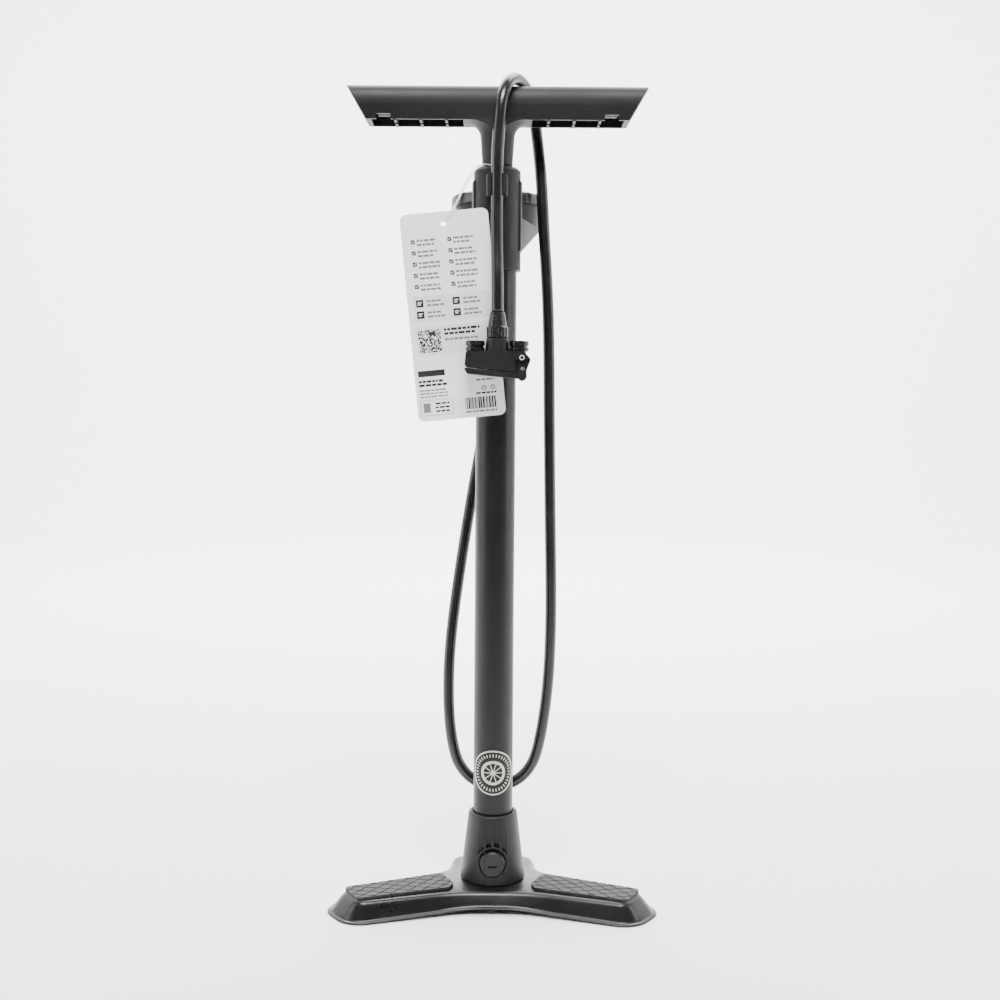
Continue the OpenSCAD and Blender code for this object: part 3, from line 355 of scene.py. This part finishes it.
def lens_material():
    """Clear polycarbonate: it lets light through, with a faint haze in its gloss."""
    material, tree, shader = new_material("clear_polycarbonate")
    place = add(tree, "ShaderNodeTexCoord").outputs["Object"]
    haze = add(tree, "ShaderNodeTexNoise", {"Scale": per_metre(14), "Detail": 4.0},
               Vector=place).outputs["Fac"]
    rough = add(tree, "ShaderNodeMapRange", {"To Min": 0.02, "To Max": 0.08}, Value=haze)
    tree.links.new(rough.outputs["Result"], shader.inputs["Roughness"])
    shader.inputs["Base Color"].default_value = hex_colour("#f4f8f8")
    shader.inputs["IOR"].default_value = 1.58
    shader.inputs["Transmission Weight"].default_value = 1.0
    return material


hard_chrome, hose_rubber, tread_rubber = chrome_rod_material(), hose_material(), tread_material()
badge_metal, ink, clear_lens = badge_material(), ink_material(), lens_material()

# ---- hose -------------------------------------------------------------------------------------
HOSE_D = 9.5 * MM
HOSE_STEP, HOSE_EASE, HOSE_SIDES = 2.5 * MM, 5, 28
# the route in mm: from the ferrule under the gauge, down, round and up behind the handle, over its bar,
# through the clip and down to the valve head
HOSE_ROUTE = MM * np.array([
    [0, 57.5, 509], [0, 57.5, 498], [0, 57.5, 484], [-1, 56.5, 455], [-5, 54, 412], [-13, 51, 365],
    [-23, 47, 306], [-32, 43, 245], [-37, 39, 200], [-38.2, 36, 158], [-34.5, 33, 118], [-29, 31.5, 100.5],
    [-16.5, 30, 87], [1.5, 29, 82], [19.5, 29, 87], [32, 29, 100.5], [38.5, 29, 121], [44.5, 30, 162],
    [47, 30, 210], [46, 29, 300], [44, 26, 400], [41, 21, 500], [38, 20, 545], [36.2, 21.5, 575],
    [34.3, 25.7, 599], [33, 29.5, 612], [31.3, 31.3, 626], [29, 28.8, 639.5], [25.4, 21.2, 650.5],
    [21, 10.5, 656.6], [15.5, -2, 658.2], [10, -14.5, 654.9], [5.7, -25.4, 645.9], [3, -31.2, 632],
    [1.4, -31.8, 616], [0.5, -28.5, 603], [0, -25.9, 592.4], [0, -24.4, 582],
    [0, -24.4, 564], [0, -26, 545], [0.5, -31, 515], [0.9, -35.6, 495], [1, -36, 484], [1, -36, 474]])


def eased(path, reach):
    """The path with each point replaced by a bell-weighted mean of its neighbours within reach points, which
    takes out small changes of bend. Both ends keep their places."""
    bell = np.exp(-np.linspace(-2, 2, 2 * reach + 1) ** 2)
    bell /= bell.sum()
    padded = np.concatenate([2 * path[0] - path[reach:0:-1], path, 2 * path[-1] - path[-2:-reach - 2:-1]])
    return np.stack([np.convolve(padded[:, k], bell, mode="valid") for k in range(3)], axis=1)


def make_hose():
    """One round tube of HOSE_SIDES sides along the whole route, with a ring at every HOSE_STEP."""
    path = eased(spline(HOSE_ROUTE, HOSE_STEP), HOSE_EASE)
    points, faces = closed_loft(tube(path, HOSE_D / 2, HOSE_SIDES))
    length = np.concatenate([[0], np.cumsum(np.linalg.norm(np.diff(path, axis=0), axis=1))])
    v, u = np.meshgrid(length, np.abs(np.linspace(-1, 1, HOSE_SIDES, endpoint=False)), indexing="ij")
    uv = np.concatenate([np.stack([u.ravel(), v.ravel()], axis=1), [[0, 0], [0, length[-1]]]])
    piece = make_piece("hose", points, faces, hose_rubber, uv=uv)
    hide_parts("hose_loop", "hose_crown", "hose_drop")
    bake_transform(piece)


make_hose()

# ---- pressed base -----------------------------------------------------------------------------
BASE_CORNERS = np.array([[28, -37], [105, -60.5], [122, -33.5], [34, 12], [33, 41], [20, 51],
                         [-20, 51], [-33, 41], [-34, 12], [-122, -33.5], [-105, -60.5], [-28, -37]], float)
BASE_RADII = np.array([110, 10, 11, 24, 9, 9, 9, 9, 24, 11, 10, 110], float)
BASE_H = 16
ARM_REACH, TIP_FLARE, FLARE_LENGTH = 120, 6, 30
FRONT_Y, ARCH_HALF, ARCH_RISE = -24, 78, 4.5
# distance out from the top's outline, and height, in mm: up the inside of the skirt's underside, round the
# rolled lip, up the skirt and over the shoulder
BASE_SECTION = np.array([[-3, 14], [-0.8, 11.8], [3, 3.6], [3.9, 0.5], [4.6, 0], [6, 0], [7.2, 0.05],
                         [7.85, 0.5], [8, 1], [7.75, 1.55], [7.1, 1.85], [6.2, 2], [5.4, 2.6], [4.8, 3.7],
                         [4.3, 5.2], [3.3, 7.7], [2.3, 10.1], [1.4, 12.2], [0.7, 13.7], [-0.3, 14.9],
                         [-1.5, 15.7], [-3, 16]])


def rounded_outline(corners, radii, out, steps=14):
    """A closed outline moved outward by out, with each corner rounded by its own radius. An edge's outward
    normal is its direction turned right by 90 degrees; a corner moves by out * (a + b) / (1 + a.b), where a
    and b are its edges' normals; an arc is centred on the corner's bisector at radius / sin(half angle)."""
    edge = np.roll(corners, -1, axis=0) - corners
    edge /= np.linalg.norm(edge, axis=1)[:, None]
    normal = np.stack([edge[:, 1], -edge[:, 0]], axis=1)
    before = np.roll(normal, 1, axis=0)
    moved = corners + out * (before + normal) / (1 + (before * normal).sum(axis=1))[:, None]
    back, ahead = -np.roll(edge, 1, axis=0), edge
    turn = np.sign(back[:, 1] * ahead[:, 0] - back[:, 0] * ahead[:, 1])
    r = np.maximum(0.3, radii + out * turn)
    half = np.arccos((back * ahead).sum(axis=1)) / 2
    middle = back + ahead
    centre = moved + middle / np.linalg.norm(middle, axis=1)[:, None] * (r / np.sin(half))[:, None]
    first = moved + back * (r / np.tan(half))[:, None] - centre
    last = moved + ahead * (r / np.tan(half))[:, None] - centre
    a0, a1 = np.arctan2(first[:, 1], first[:, 0]), np.arctan2(last[:, 1], last[:, 0])
    swing = (a1 - a0 + 3 * math.pi) % (2 * math.pi) - math.pi
    a = a0[:, None] + swing[:, None] * np.linspace(0, 1, steps)
    return (centre[:, None] + r[:, None, None] * np.stack([np.cos(a), np.sin(a)], axis=2)).reshape(-1, 2)


def make_base():
    """The section carried round the outline: each ring is the outline moved out by the section's first
    value, at its second. The front edge is raised by rise * cos^2(90 deg * x / half width), and the skirt at
    the arms' tips spreads sideways, growing evenly over FLARE_LENGTH; both fade towards the top. The faces
    that close the loft, the flat top among them, are shaded flat."""
    rings = []
    for out, z in BASE_SECTION:
        ring = rounded_outline(BASE_CORNERS, BASE_RADII, out)
        inside = (ring[:, 1] < FRONT_Y) & (np.abs(ring[:, 0]) < ARCH_HALF)
        lift = ARCH_RISE * np.cos(np.pi / 2 * ring[:, 0] / ARCH_HALF) ** 2 * (1 - z / BASE_H)
        near_tip = np.clip((np.abs(ring[:, 0]) - ARM_REACH + FLARE_LENGTH) / FLARE_LENGTH, 0, 1)
        ring[:, 0] += np.sign(ring[:, 0]) * TIP_FLARE * near_tip * (1 - z / BASE_H)
        rings.append(np.column_stack([ring, z + np.where(inside, lift, 0)]))
    rings = np.array(rings)
    points, faces = closed_loft(rings * MM)
    # both ends close about a point a little in front of the barrel's axis
    points[-2:, :2] = (0, -12 * MM)
    piece = make_piece("pressed_base", points, faces, stove_enamel, "pump_body")
    sharp = piece.data.attributes.new("sharp_face", "BOOLEAN", "FACE")
    flat = np.zeros(len(piece.data.polygons), dtype=bool)
    flat[-2 * rings.shape[1]:] = True
    sharp.data.foreach_set("value", flat)
    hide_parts("base_plate")


make_base()

# ---- badge ------------------------------------------------------------------------------------
BARREL_R = 16.0
BADGE_R, BADGE_Z = 18.3, 106.4
TYRE_BARS, SPOKES = 36, 10


def badge_relief(r, a):
    """How far each place stands up, from 0 to 1, at radius r in mm and angle a: a rim, a ring of short bars
    like a tyre's tread, and a spoked wheel with a tyre and a hub."""
    def band(low, high):
        return smoothstep(r, low - 0.15, low + 0.15) * (1 - smoothstep(r, high - 0.15, high + 0.15))
    bars = smoothstep(np.cos(TYRE_BARS * a), 0.1, 0.7) * band(12.9, 15.5)
    half = math.pi / SPOKES
    spoke = 1 - smoothstep(np.abs(r * np.sin(((a + half) % (2 * half)) - half)), 0.22, 0.5)
    wheel = np.maximum(band(7.7, 10), np.maximum(band(0, 1.9), spoke * (r < 8)))
    return np.maximum.reduce([band(17.1, 18.6), 0.7 * bars, wheel])


def make_badge():
    """A disc wrapped on the barrel. A point at radius r and angle a lies u = r cos a round the barrel and
    r sin a up it, at the barrel's radius plus 0.3 mm and 0.2 mm of relief; its rim drops to the barrel."""
    r = np.concatenate([np.linspace(0.02, BADGE_R - 0.25, 84), [BADGE_R - 0.08, BADGE_R, BADGE_R]])
    a = np.linspace(0, 2 * math.pi, 400, endpoint=False)
    rr, aa = np.meshgrid(r, a, indexing="ij")
    relief = badge_relief(rr, aa)
    lift = 0.3 + 0.2 * relief
    lift[-2], lift[-1] = 0.4, 0
    u, v = rr * np.cos(aa), rr * np.sin(aa)
    reach = BARREL_R + lift
    rings = np.stack([reach * np.sin(u / BARREL_R), -reach * np.cos(u / BARREL_R), BADGE_Z + v], axis=2)
    points, faces = closed_loft(rings[::-1] * MM)
    piece = make_piece("badge", points, faces, badge_metal, "pump_body")
    values = np.concatenate([relief[::-1].ravel(), [0, 1]]).astype(np.float32)
    piece.data.attributes.new("relief", "FLOAT", "POINT").data.foreach_set("value", values)
    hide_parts("barrel_badge")


make_badge()

# ---- print ------------------------------------------------------------------------------------
INKS = {name: hex_colour(c) for name, c in {"black": "#1e2022", "grey": "#6c7174", "panel": "#dcdfde",
                                            "card": "#f1f2f1", "red": "#c02018", "white": "#eeeeea"}.items()}


def make_print(name, quads, inks, place, body):
    """Flat inked quads. quads is (n, 4, 2) in mm on the printed face, inks names each one's colour, and
    place turns (m, 2) points into metres in the frame's axes."""
    quads = np.asarray(quads, float)
    points = place(quads.reshape(-1, 2))
    faces = np.arange(len(points)).reshape(-1, 4).tolist()
    piece = make_piece(name, points, faces, ink, body, smooth=False)
    colours = np.repeat(np.array([INKS[i] for i in inks]), 4, axis=0)
    layer = piece.data.color_attributes.new("ink", "FLOAT_COLOR", "CORNER")
    layer.data.foreach_set("color", colours.ravel())


def box(u0, v0, u1, v1):
    """A rectangle's corners, where v counts down the card."""
    return [[u0, v1], [u1, v1], [u1, v0], [u0, v0]]


TAG_AT, TAG_TILT, TAG_FACE = (-76, 549), math.radians(-5.6), -22.9
WORD_GAP = 0.7
LIST_COLUMNS, LIST_TOP, LIST_PITCH, LIST_ROWS = (8.6, 37.2), 21.6, 8.65, 5
PICTURE_ROWS = (69.3, 78.1)
CODE_AT, CODE_SIZE, CODE_CELLS, CODE_FILL = (5.9, 90.1), 17.6, 21, 0.55
FOOT_LEFT = 3                                  # left edge of the lines at the card's foot
STRIPES_FROM, STRIPES_TO = 37.7, 62
RING_MARKS, RING_V, RING_INNER, RING_OUTER = (53.7, 60.5), 138.5, 1, 1.9


def on_tag(p, layer):
    """A point u across and v down the card, layer mm in front of it: x and z turn by the card's tilt about
    its upper left corner."""
    x = TAG_AT[0] + p[:, 0] * math.cos(TAG_TILT) - p[:, 1] * math.sin(TAG_TILT)
    z = TAG_AT[1] - p[:, 0] * math.sin(TAG_TILT) - p[:, 1] * math.cos(TAG_TILT)
    return np.stack([x, np.full(len(p), TAG_FACE - layer), z], axis=1) * MM


def words(quads, inks, u, v, width, height, colour):
    """A line of greeked print: bars of 1.5 to 5 mm with gaps of WORD_GAP, filling width."""
    end = u + width
    while u < end - 1:
        bar = min(rng.uniform(1.5, 5), end - u)
        quads.append(box(u, v, u + bar, v + height))
        inks.append(colour)
        u += bar + WORD_GAP


def make_tag_print():
    """The card's generic print, in three layers: panels, what is printed on them, and ticks."""
    quads, inks, ticks = [], [], []

    def mark(shape, colour):
        quads.append(shape)
        inks.append(colour)

    under = [box(4.5, 63.6, 64.5, 83.6), box(4.3, 87.5, 64.5, 110)]
    make_print("tag_panels", under, ["panel"] * 2, lambda p: on_tag(p, 0.03), "pump_body")
    for column in LIST_COLUMNS:
        for row in range(LIST_ROWS):
            v = LIST_TOP + LIST_PITCH * row
            mark(box(column - 1.6, v - 1.6, column + 1.6, v + 1.6), "black")
            for tick in ([[-1, 0], [-0.3, 1], [-0.3, 0.4], [-0.6, -0.3]],
                         [[-0.3, 1], [1.1, -0.8], [0.8, -1.1], [-0.3, 0.4]]):
                ticks.append([[column + du, v + dv] for du, dv in tick])
            words(quads, inks, column + 3, v - 1.5, rng.uniform(14, 17), 1.6, "grey")
            words(quads, inks, column + 3, v + 1.7, rng.uniform(11, 17), 1.6, "grey")
        for v in PICTURE_ROWS:
            mark(box(column - 2, v - 2.9, column + 3.8, v + 2.9), "black")
            ticks.append(box(column - 0.7, v - 1.2, column + 2.5, v - 0.4))
            ticks.append(box(column - 0.7, v + 0.4, column + 1.7, v + 1.2))
            words(quads, inks, column + 6.4, v - 2.2, 11, 1.5, "grey")
            words(quads, inks, column + 6.4, v + 1, 13.6, 1.5, "grey")
    cell = CODE_SIZE / CODE_CELLS
    for i, j in np.argwhere(rng.random((CODE_CELLS, CODE_CELLS)) < CODE_FILL):
        u, v = CODE_AT[0] + cell * j, CODE_AT[1] + cell * i
        mark(box(u, v, u + cell, v + cell), "black")
    words(quads, inks, 26.5, 89.9, 28, 1.9, "black")
    words(quads, inks, 26.5, 93.1, 24, 1.9, "black")
    words(quads, inks, 26.5, 97.7, 26, 1.6, "grey")
    mark(box(FOOT_LEFT, 121.5, 24, 126.2), "black")
    words(quads, inks, FOOT_LEFT, 129.1, 19, 1.8, "black")
    words(quads, inks, FOOT_LEFT, 132, 22, 1.8, "black")
    for row in range(3):
        words(quads, inks, FOOT_LEFT, 136.4 + 2.5 * row, 22, 1.1, "grey")
    for edge in (box(2.4, 144.6, 28.2, 144.95), box(2.4, 156.35, 28.2, 156.7),
                 box(2.4, 144.95, 2.75, 156.35), box(27.85, 144.95, 28.2, 156.35),
                 box(5, 147, 10.4, 154.4)):
        mark(edge, "grey")
    for row in range(3):
        words(quads, inks, 14.5, 147 + 3 * row, 11, 1.4, "black")
    u = STRIPES_FROM
    while u < STRIPES_TO:
        bar = rng.choice([0.4, 0.4, 0.8, 1.2])
        mark(box(u, 145.4, u + bar, 154.4), "black")
        u += bar + rng.choice([0.35, 0.7])
    words(quads, inks, STRIPES_FROM, 155.8, 24.9, 1.3, "grey")
    words(quads, inks, 47, 141.8, 16, 1.4, "black")
    words(quads, inks, 48, 131.4, 14, 1.4, "grey")
    a = np.linspace(0, 2 * math.pi, 13)
    circle = np.stack([np.cos(a), -np.sin(a)], axis=1)
    for u in RING_MARKS:
        inner, outer = [u, RING_V] + RING_INNER * circle, [u, RING_V] + RING_OUTER * circle
        for i in range(12):
            mark([inner[i], outer[i], outer[i + 1], inner[i + 1]], "grey")
    make_print("tag_ticks", ticks, ["card"] * len(ticks), lambda p: on_tag(p, 0.09), "pump_body")
    make_print("tag_print", quads, inks, lambda p: on_tag(p, 0.06), "pump_body")


make_tag_print()

# ---- gauge ------------------------------------------------------------------------------------
GAUGE_Y = 57.5
DIAL_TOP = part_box("gauge_dial")[1][2] / MM
ZERO_ANGLE, SWEEP = math.radians(225), math.radians(-270)
DIAL_STEPS, ARC_STEPS, DIAL_NUMBERS, DIAL_FULL = 40, 120, 6, 200
TICK_OUTER, TICK_SHORT, TICK_LONG = 27.2, 24.6, 23.2
ARC_INNER, ARC_MIDDLE, ARC_OUTER, RED_FROM = 27.4, 27.8, 28.3, 96
NUMBER_R, NUMBER_SIZE = 18.6, 4.6


def on_dial(p):
    """A point on the dial's face, from the gauge's axis."""
    return np.stack([p[:, 0], p[:, 1] + GAUGE_Y, np.full(len(p), DIAL_TOP + 0.04)], axis=1) * MM


def spoke_box(angle, r0, r1, width):
    """A bar from radius r0 to r1 at an angle, counter-clockwise."""
    out, side = np.array([math.cos(angle), math.sin(angle)]), np.array([-math.sin(angle), math.cos(angle)])
    return [out * r0 - side * width / 2, out * r1 - side * width / 2, out * r1 + side * width / 2,
            out * r0 + side * width / 2]


def make_dial_print():
    """Ticks every 6.75 degrees over the 270 degree sweep, each fourth one longer, and an arc outside them
    that is red at its end. Its short bars overlap by 2 %. Numbers stand at every eighth tick."""
    quads, inks = [], []
    for i in range(DIAL_STEPS + 1):
        a = ZERO_ANGLE + SWEEP * i / DIAL_STEPS
        inner, width = (TICK_SHORT, 0.35) if i % 4 else (TICK_LONG, 0.7)
        quads.append(spoke_box(a, inner, TICK_OUTER, width))
        inks.append("black")
    bar = ARC_MIDDLE * abs(SWEEP) / ARC_STEPS * 1.02
    for i in range(ARC_STEPS):
        a = ZERO_ANGLE + SWEEP * (i + 0.5) / ARC_STEPS
        quads.append(spoke_box(a, ARC_INNER, ARC_OUTER, bar))
        inks.append("red" if i > RED_FROM else "black")
    make_print("dial_scale", quads, inks, on_dial, "pump_body")
    for i in range(DIAL_NUMBERS):
        a = ZERO_ANGLE + SWEEP * i / (DIAL_NUMBERS - 1)
        font = bpy.data.curves.new(f"number_{i}", "FONT")
        font.body, font.size = str(DIAL_FULL * i // (DIAL_NUMBERS - 1)), NUMBER_SIZE * MM
        font.align_x, font.align_y, font.resolution_u = "CENTER", "CENTER", 3
        source = bpy.data.objects.new(f"number_{i}_line", font)
        mesh = bpy.data.meshes.new_from_object(source)
        points = np.zeros(len(mesh.vertices) * 3)
        mesh.vertices.foreach_get("co", points)
        flat = points.reshape(-1, 3)[:, :2] / MM + NUMBER_R * np.array([math.cos(a), math.sin(a)])
        faces = [list(f.vertices) for f in mesh.polygons]
        piece = make_piece(f"dial_number_{i}", on_dial(flat), faces, ink, "pump_body", smooth=False)
        layer = piece.data.color_attributes.new("ink", "FLOAT_COLOR", "CORNER")
        layer.data.foreach_set("color", np.tile(INKS["black"], len(piece.data.loops)))
        bpy.data.objects.remove(source)
        bpy.data.meshes.remove(mesh)


make_dial_print()

# ---- print on the valve head ------------------------------------------------------------------
HEAD_FRONT, HEAD_RING_AT = -46, [20, 439]


def make_head_marks():
    """One thin white ring, a valve seen end on, on the head's front face."""
    a = np.linspace(0, 2 * math.pi, 33)
    circle = np.stack([np.cos(a), np.sin(a)], axis=1)
    inner, outer = HEAD_RING_AT + circle * 1.4, HEAD_RING_AT + circle * 1.9
    quads = [[inner[i], outer[i], outer[i + 1], inner[i + 1]] for i in range(32)]

    def on_head(p):
        return np.stack([p[:, 0], np.full(len(p), HEAD_FRONT - 0.04), p[:, 1]], axis=1) * MM

    make_print("head_marks", quads, ["white"] * len(quads), on_head, "pump_body")


make_head_marks()

# ---- finishes of the frame's own pieces -------------------------------------------------------
FINISHES = {
    satin_nylon: ["handle_shell", "top_housing", "head_body", "head_lever"],
    neck_nylon: ["base_neck", "check_valve_plug"],
    powder_coat: ["barrel"],
    grey_abs: ["bezel_ring"],
    gloss_acetal: ["hose_ferrule", "head_hose_nut", "presta_collar", "schrader_collar", "taper_nozzle"],
    tread_rubber: ["foot_tread_left", "foot_tread_right"],
    nitrile: ["plug_oring", "rod_wiper", "stop_bumper", "piston_cup", "presta_gasket", "schrader_gasket"],
    zinc_plate: ["neck_screws", "check_valve_spring", "button_spring", "handle_nut", "piston_nut",
                 "lever_pin", "inner_cylinder"],
    hard_chrome: ["piston_rod"],
    turned_brass: ["check_valve_seat", "gauge_movement", "hose_barb"],
    natural_acetal: ["check_valve_poppet", "rod_bush", "piston_body"],
    needle_nickel_painted_shade: ["ball_needle"],
    dial_paint: ["gauge_dial"],
    red_abs: ["gauge_needle", "target_marker", "release_button"],
    clear_lens: ["gauge_lens"],
    coated_board: ["hang_tag"],
    clear_nylon: ["tag_loop"],
}
for material, names in FINISHES.items():
    for name in names:
        mesh = nodes[name].data
        mesh.materials.clear()
        mesh.materials.append(material)

# ---- floor and light --------------------------------------------------------------------------
FLOOR_FLAT, FLOOR_BEND, WALL_TOP, FLOOR_SIDES = 3, 1, 5, 96  # metres, and the count of sides


def floor_material():
    """Matt studio paper: white from 0.35 m in front of the object backwards, then painted shade greying it
    by
    1.3 m in front of it, so that black finishes keep their depth. Its roughness has a faint mottle of 40 mm."""
    material, tree, shader = new_material("studio_paper_with_painted_shade")
    place = add(tree, "ShaderNodeTexCoord").outputs["Object"]
    depth = add(tree, "ShaderNodeSeparateXYZ", Vector=place).outputs["Y"]
    mottle = add(tree, "ShaderNodeTexNoise", {"Scale": per_metre(40), "Detail": 3.0},
                 Vector=place).outputs["Fac"]
    # painted shade: the paper's colour fades from white to grey towards the front, standing in for less
    # light there
    white = add(tree, "ShaderNodeMapRange", {"From Min": -1.3, "From Max": -0.35},
                Value=depth).outputs["Result"]
    tint = add(tree, "ShaderNodeMix",
               {"data_type": "RGBA", 6: hex_colour("#8c8c8c"), 7: hex_colour("#f6f6f6")},
               _0=white)
    rough = add(tree, "ShaderNodeMapRange", {"To Min": 0.7, "To Max": 0.8}, Value=mottle)
    tree.links.new(tint.outputs[2], shader.inputs["Base Color"])
    tree.links.new(rough.outputs["Result"], shader.inputs["Roughness"])
    return material


def make_floor():
    """A round sheet turned about the object's axis: flat out to FLOOR_FLAT, then a quarter circle of radius
    FLOOR_BEND up into a wall. The middle closes in a fan of triangles."""
    bend = np.linspace(0, math.pi / 2, 20)[1:]
    out = np.concatenate([[0.1, 0.5, 1.2, 2, FLOOR_FLAT], FLOOR_FLAT + FLOOR_BEND * np.sin(bend),
                          [FLOOR_FLAT + FLOOR_BEND]])
    up = np.concatenate([np.zeros(5), FLOOR_BEND * (1 - np.cos(bend)), [WALL_TOP]])
    a = np.linspace(0, 2 * math.pi, FLOOR_SIDES, endpoint=False)
    x, y = out[:, None] * np.cos(a), out[:, None] * np.sin(a)
    points = np.stack([x, y, np.broadcast_to(up[:, None], x.shape)], axis=2).reshape(-1, 3)
    j = np.arange(FLOOR_SIDES)
    middle = np.stack([np.full(FLOOR_SIDES, len(points)), j, (j + 1) % FLOOR_SIDES], axis=1)
    faces = grid_faces(len(out), FLOOR_SIDES, True)[:, ::-1].tolist() + middle.tolist()
    make_piece("floor", np.concatenate([points, [[0, 0, 0]]]), faces, floor_material())


make_floor()


def softbox(name, place, aim, size, watts):
    """A rectangular soft light at place that faces aim."""
    data = bpy.data.lights.new(name, "AREA")
    data.shape, data.size, data.size_y, data.energy = "RECTANGLE", size[0], size[1], watts
    lamp = bpy.data.objects.new(name, data)
    bpy.context.scene.collection.objects.link(lamp)
    lamp.location = place
    lamp.rotation_mode = "QUATERNION"
    lamp.rotation_quaternion = (Vector(aim) - Vector(place)).to_track_quat("-Z", "Y")


# the narrow lights at the sides edge the tubes, the front one lights the object from above, and the last
# two light the floor and the wall behind it
softbox("left_softbox", (-1.7, -0.5, 0.7), (0, 0, 0.35), (0.35, 1.6), 13)
softbox("right_softbox", (1.7, -0.3, 0.7), (0, 0, 0.35), (0.35, 1.6), 11)
softbox("front_softbox", (0, -1.2, 2.3), (0, 0, 0.45), (1.2, 0.6), 100)
softbox("top_softbox", (0, 1.0, 2.2), (0, 0.9, 0), (2.8, 1.2), 110)
softbox("back_softbox", (0, 1.6, 2.4), (0, 3.6, 0.4), (3, 1.5), 330)

world = bpy.data.worlds.new("studio")
bpy.context.scene.world = world
world.use_nodes = True
sky = world.node_tree.nodes["Background"]
sky.inputs["Color"].default_value = (1, 1, 1, 1)
sky.inputs["Strength"].default_value = 0.1
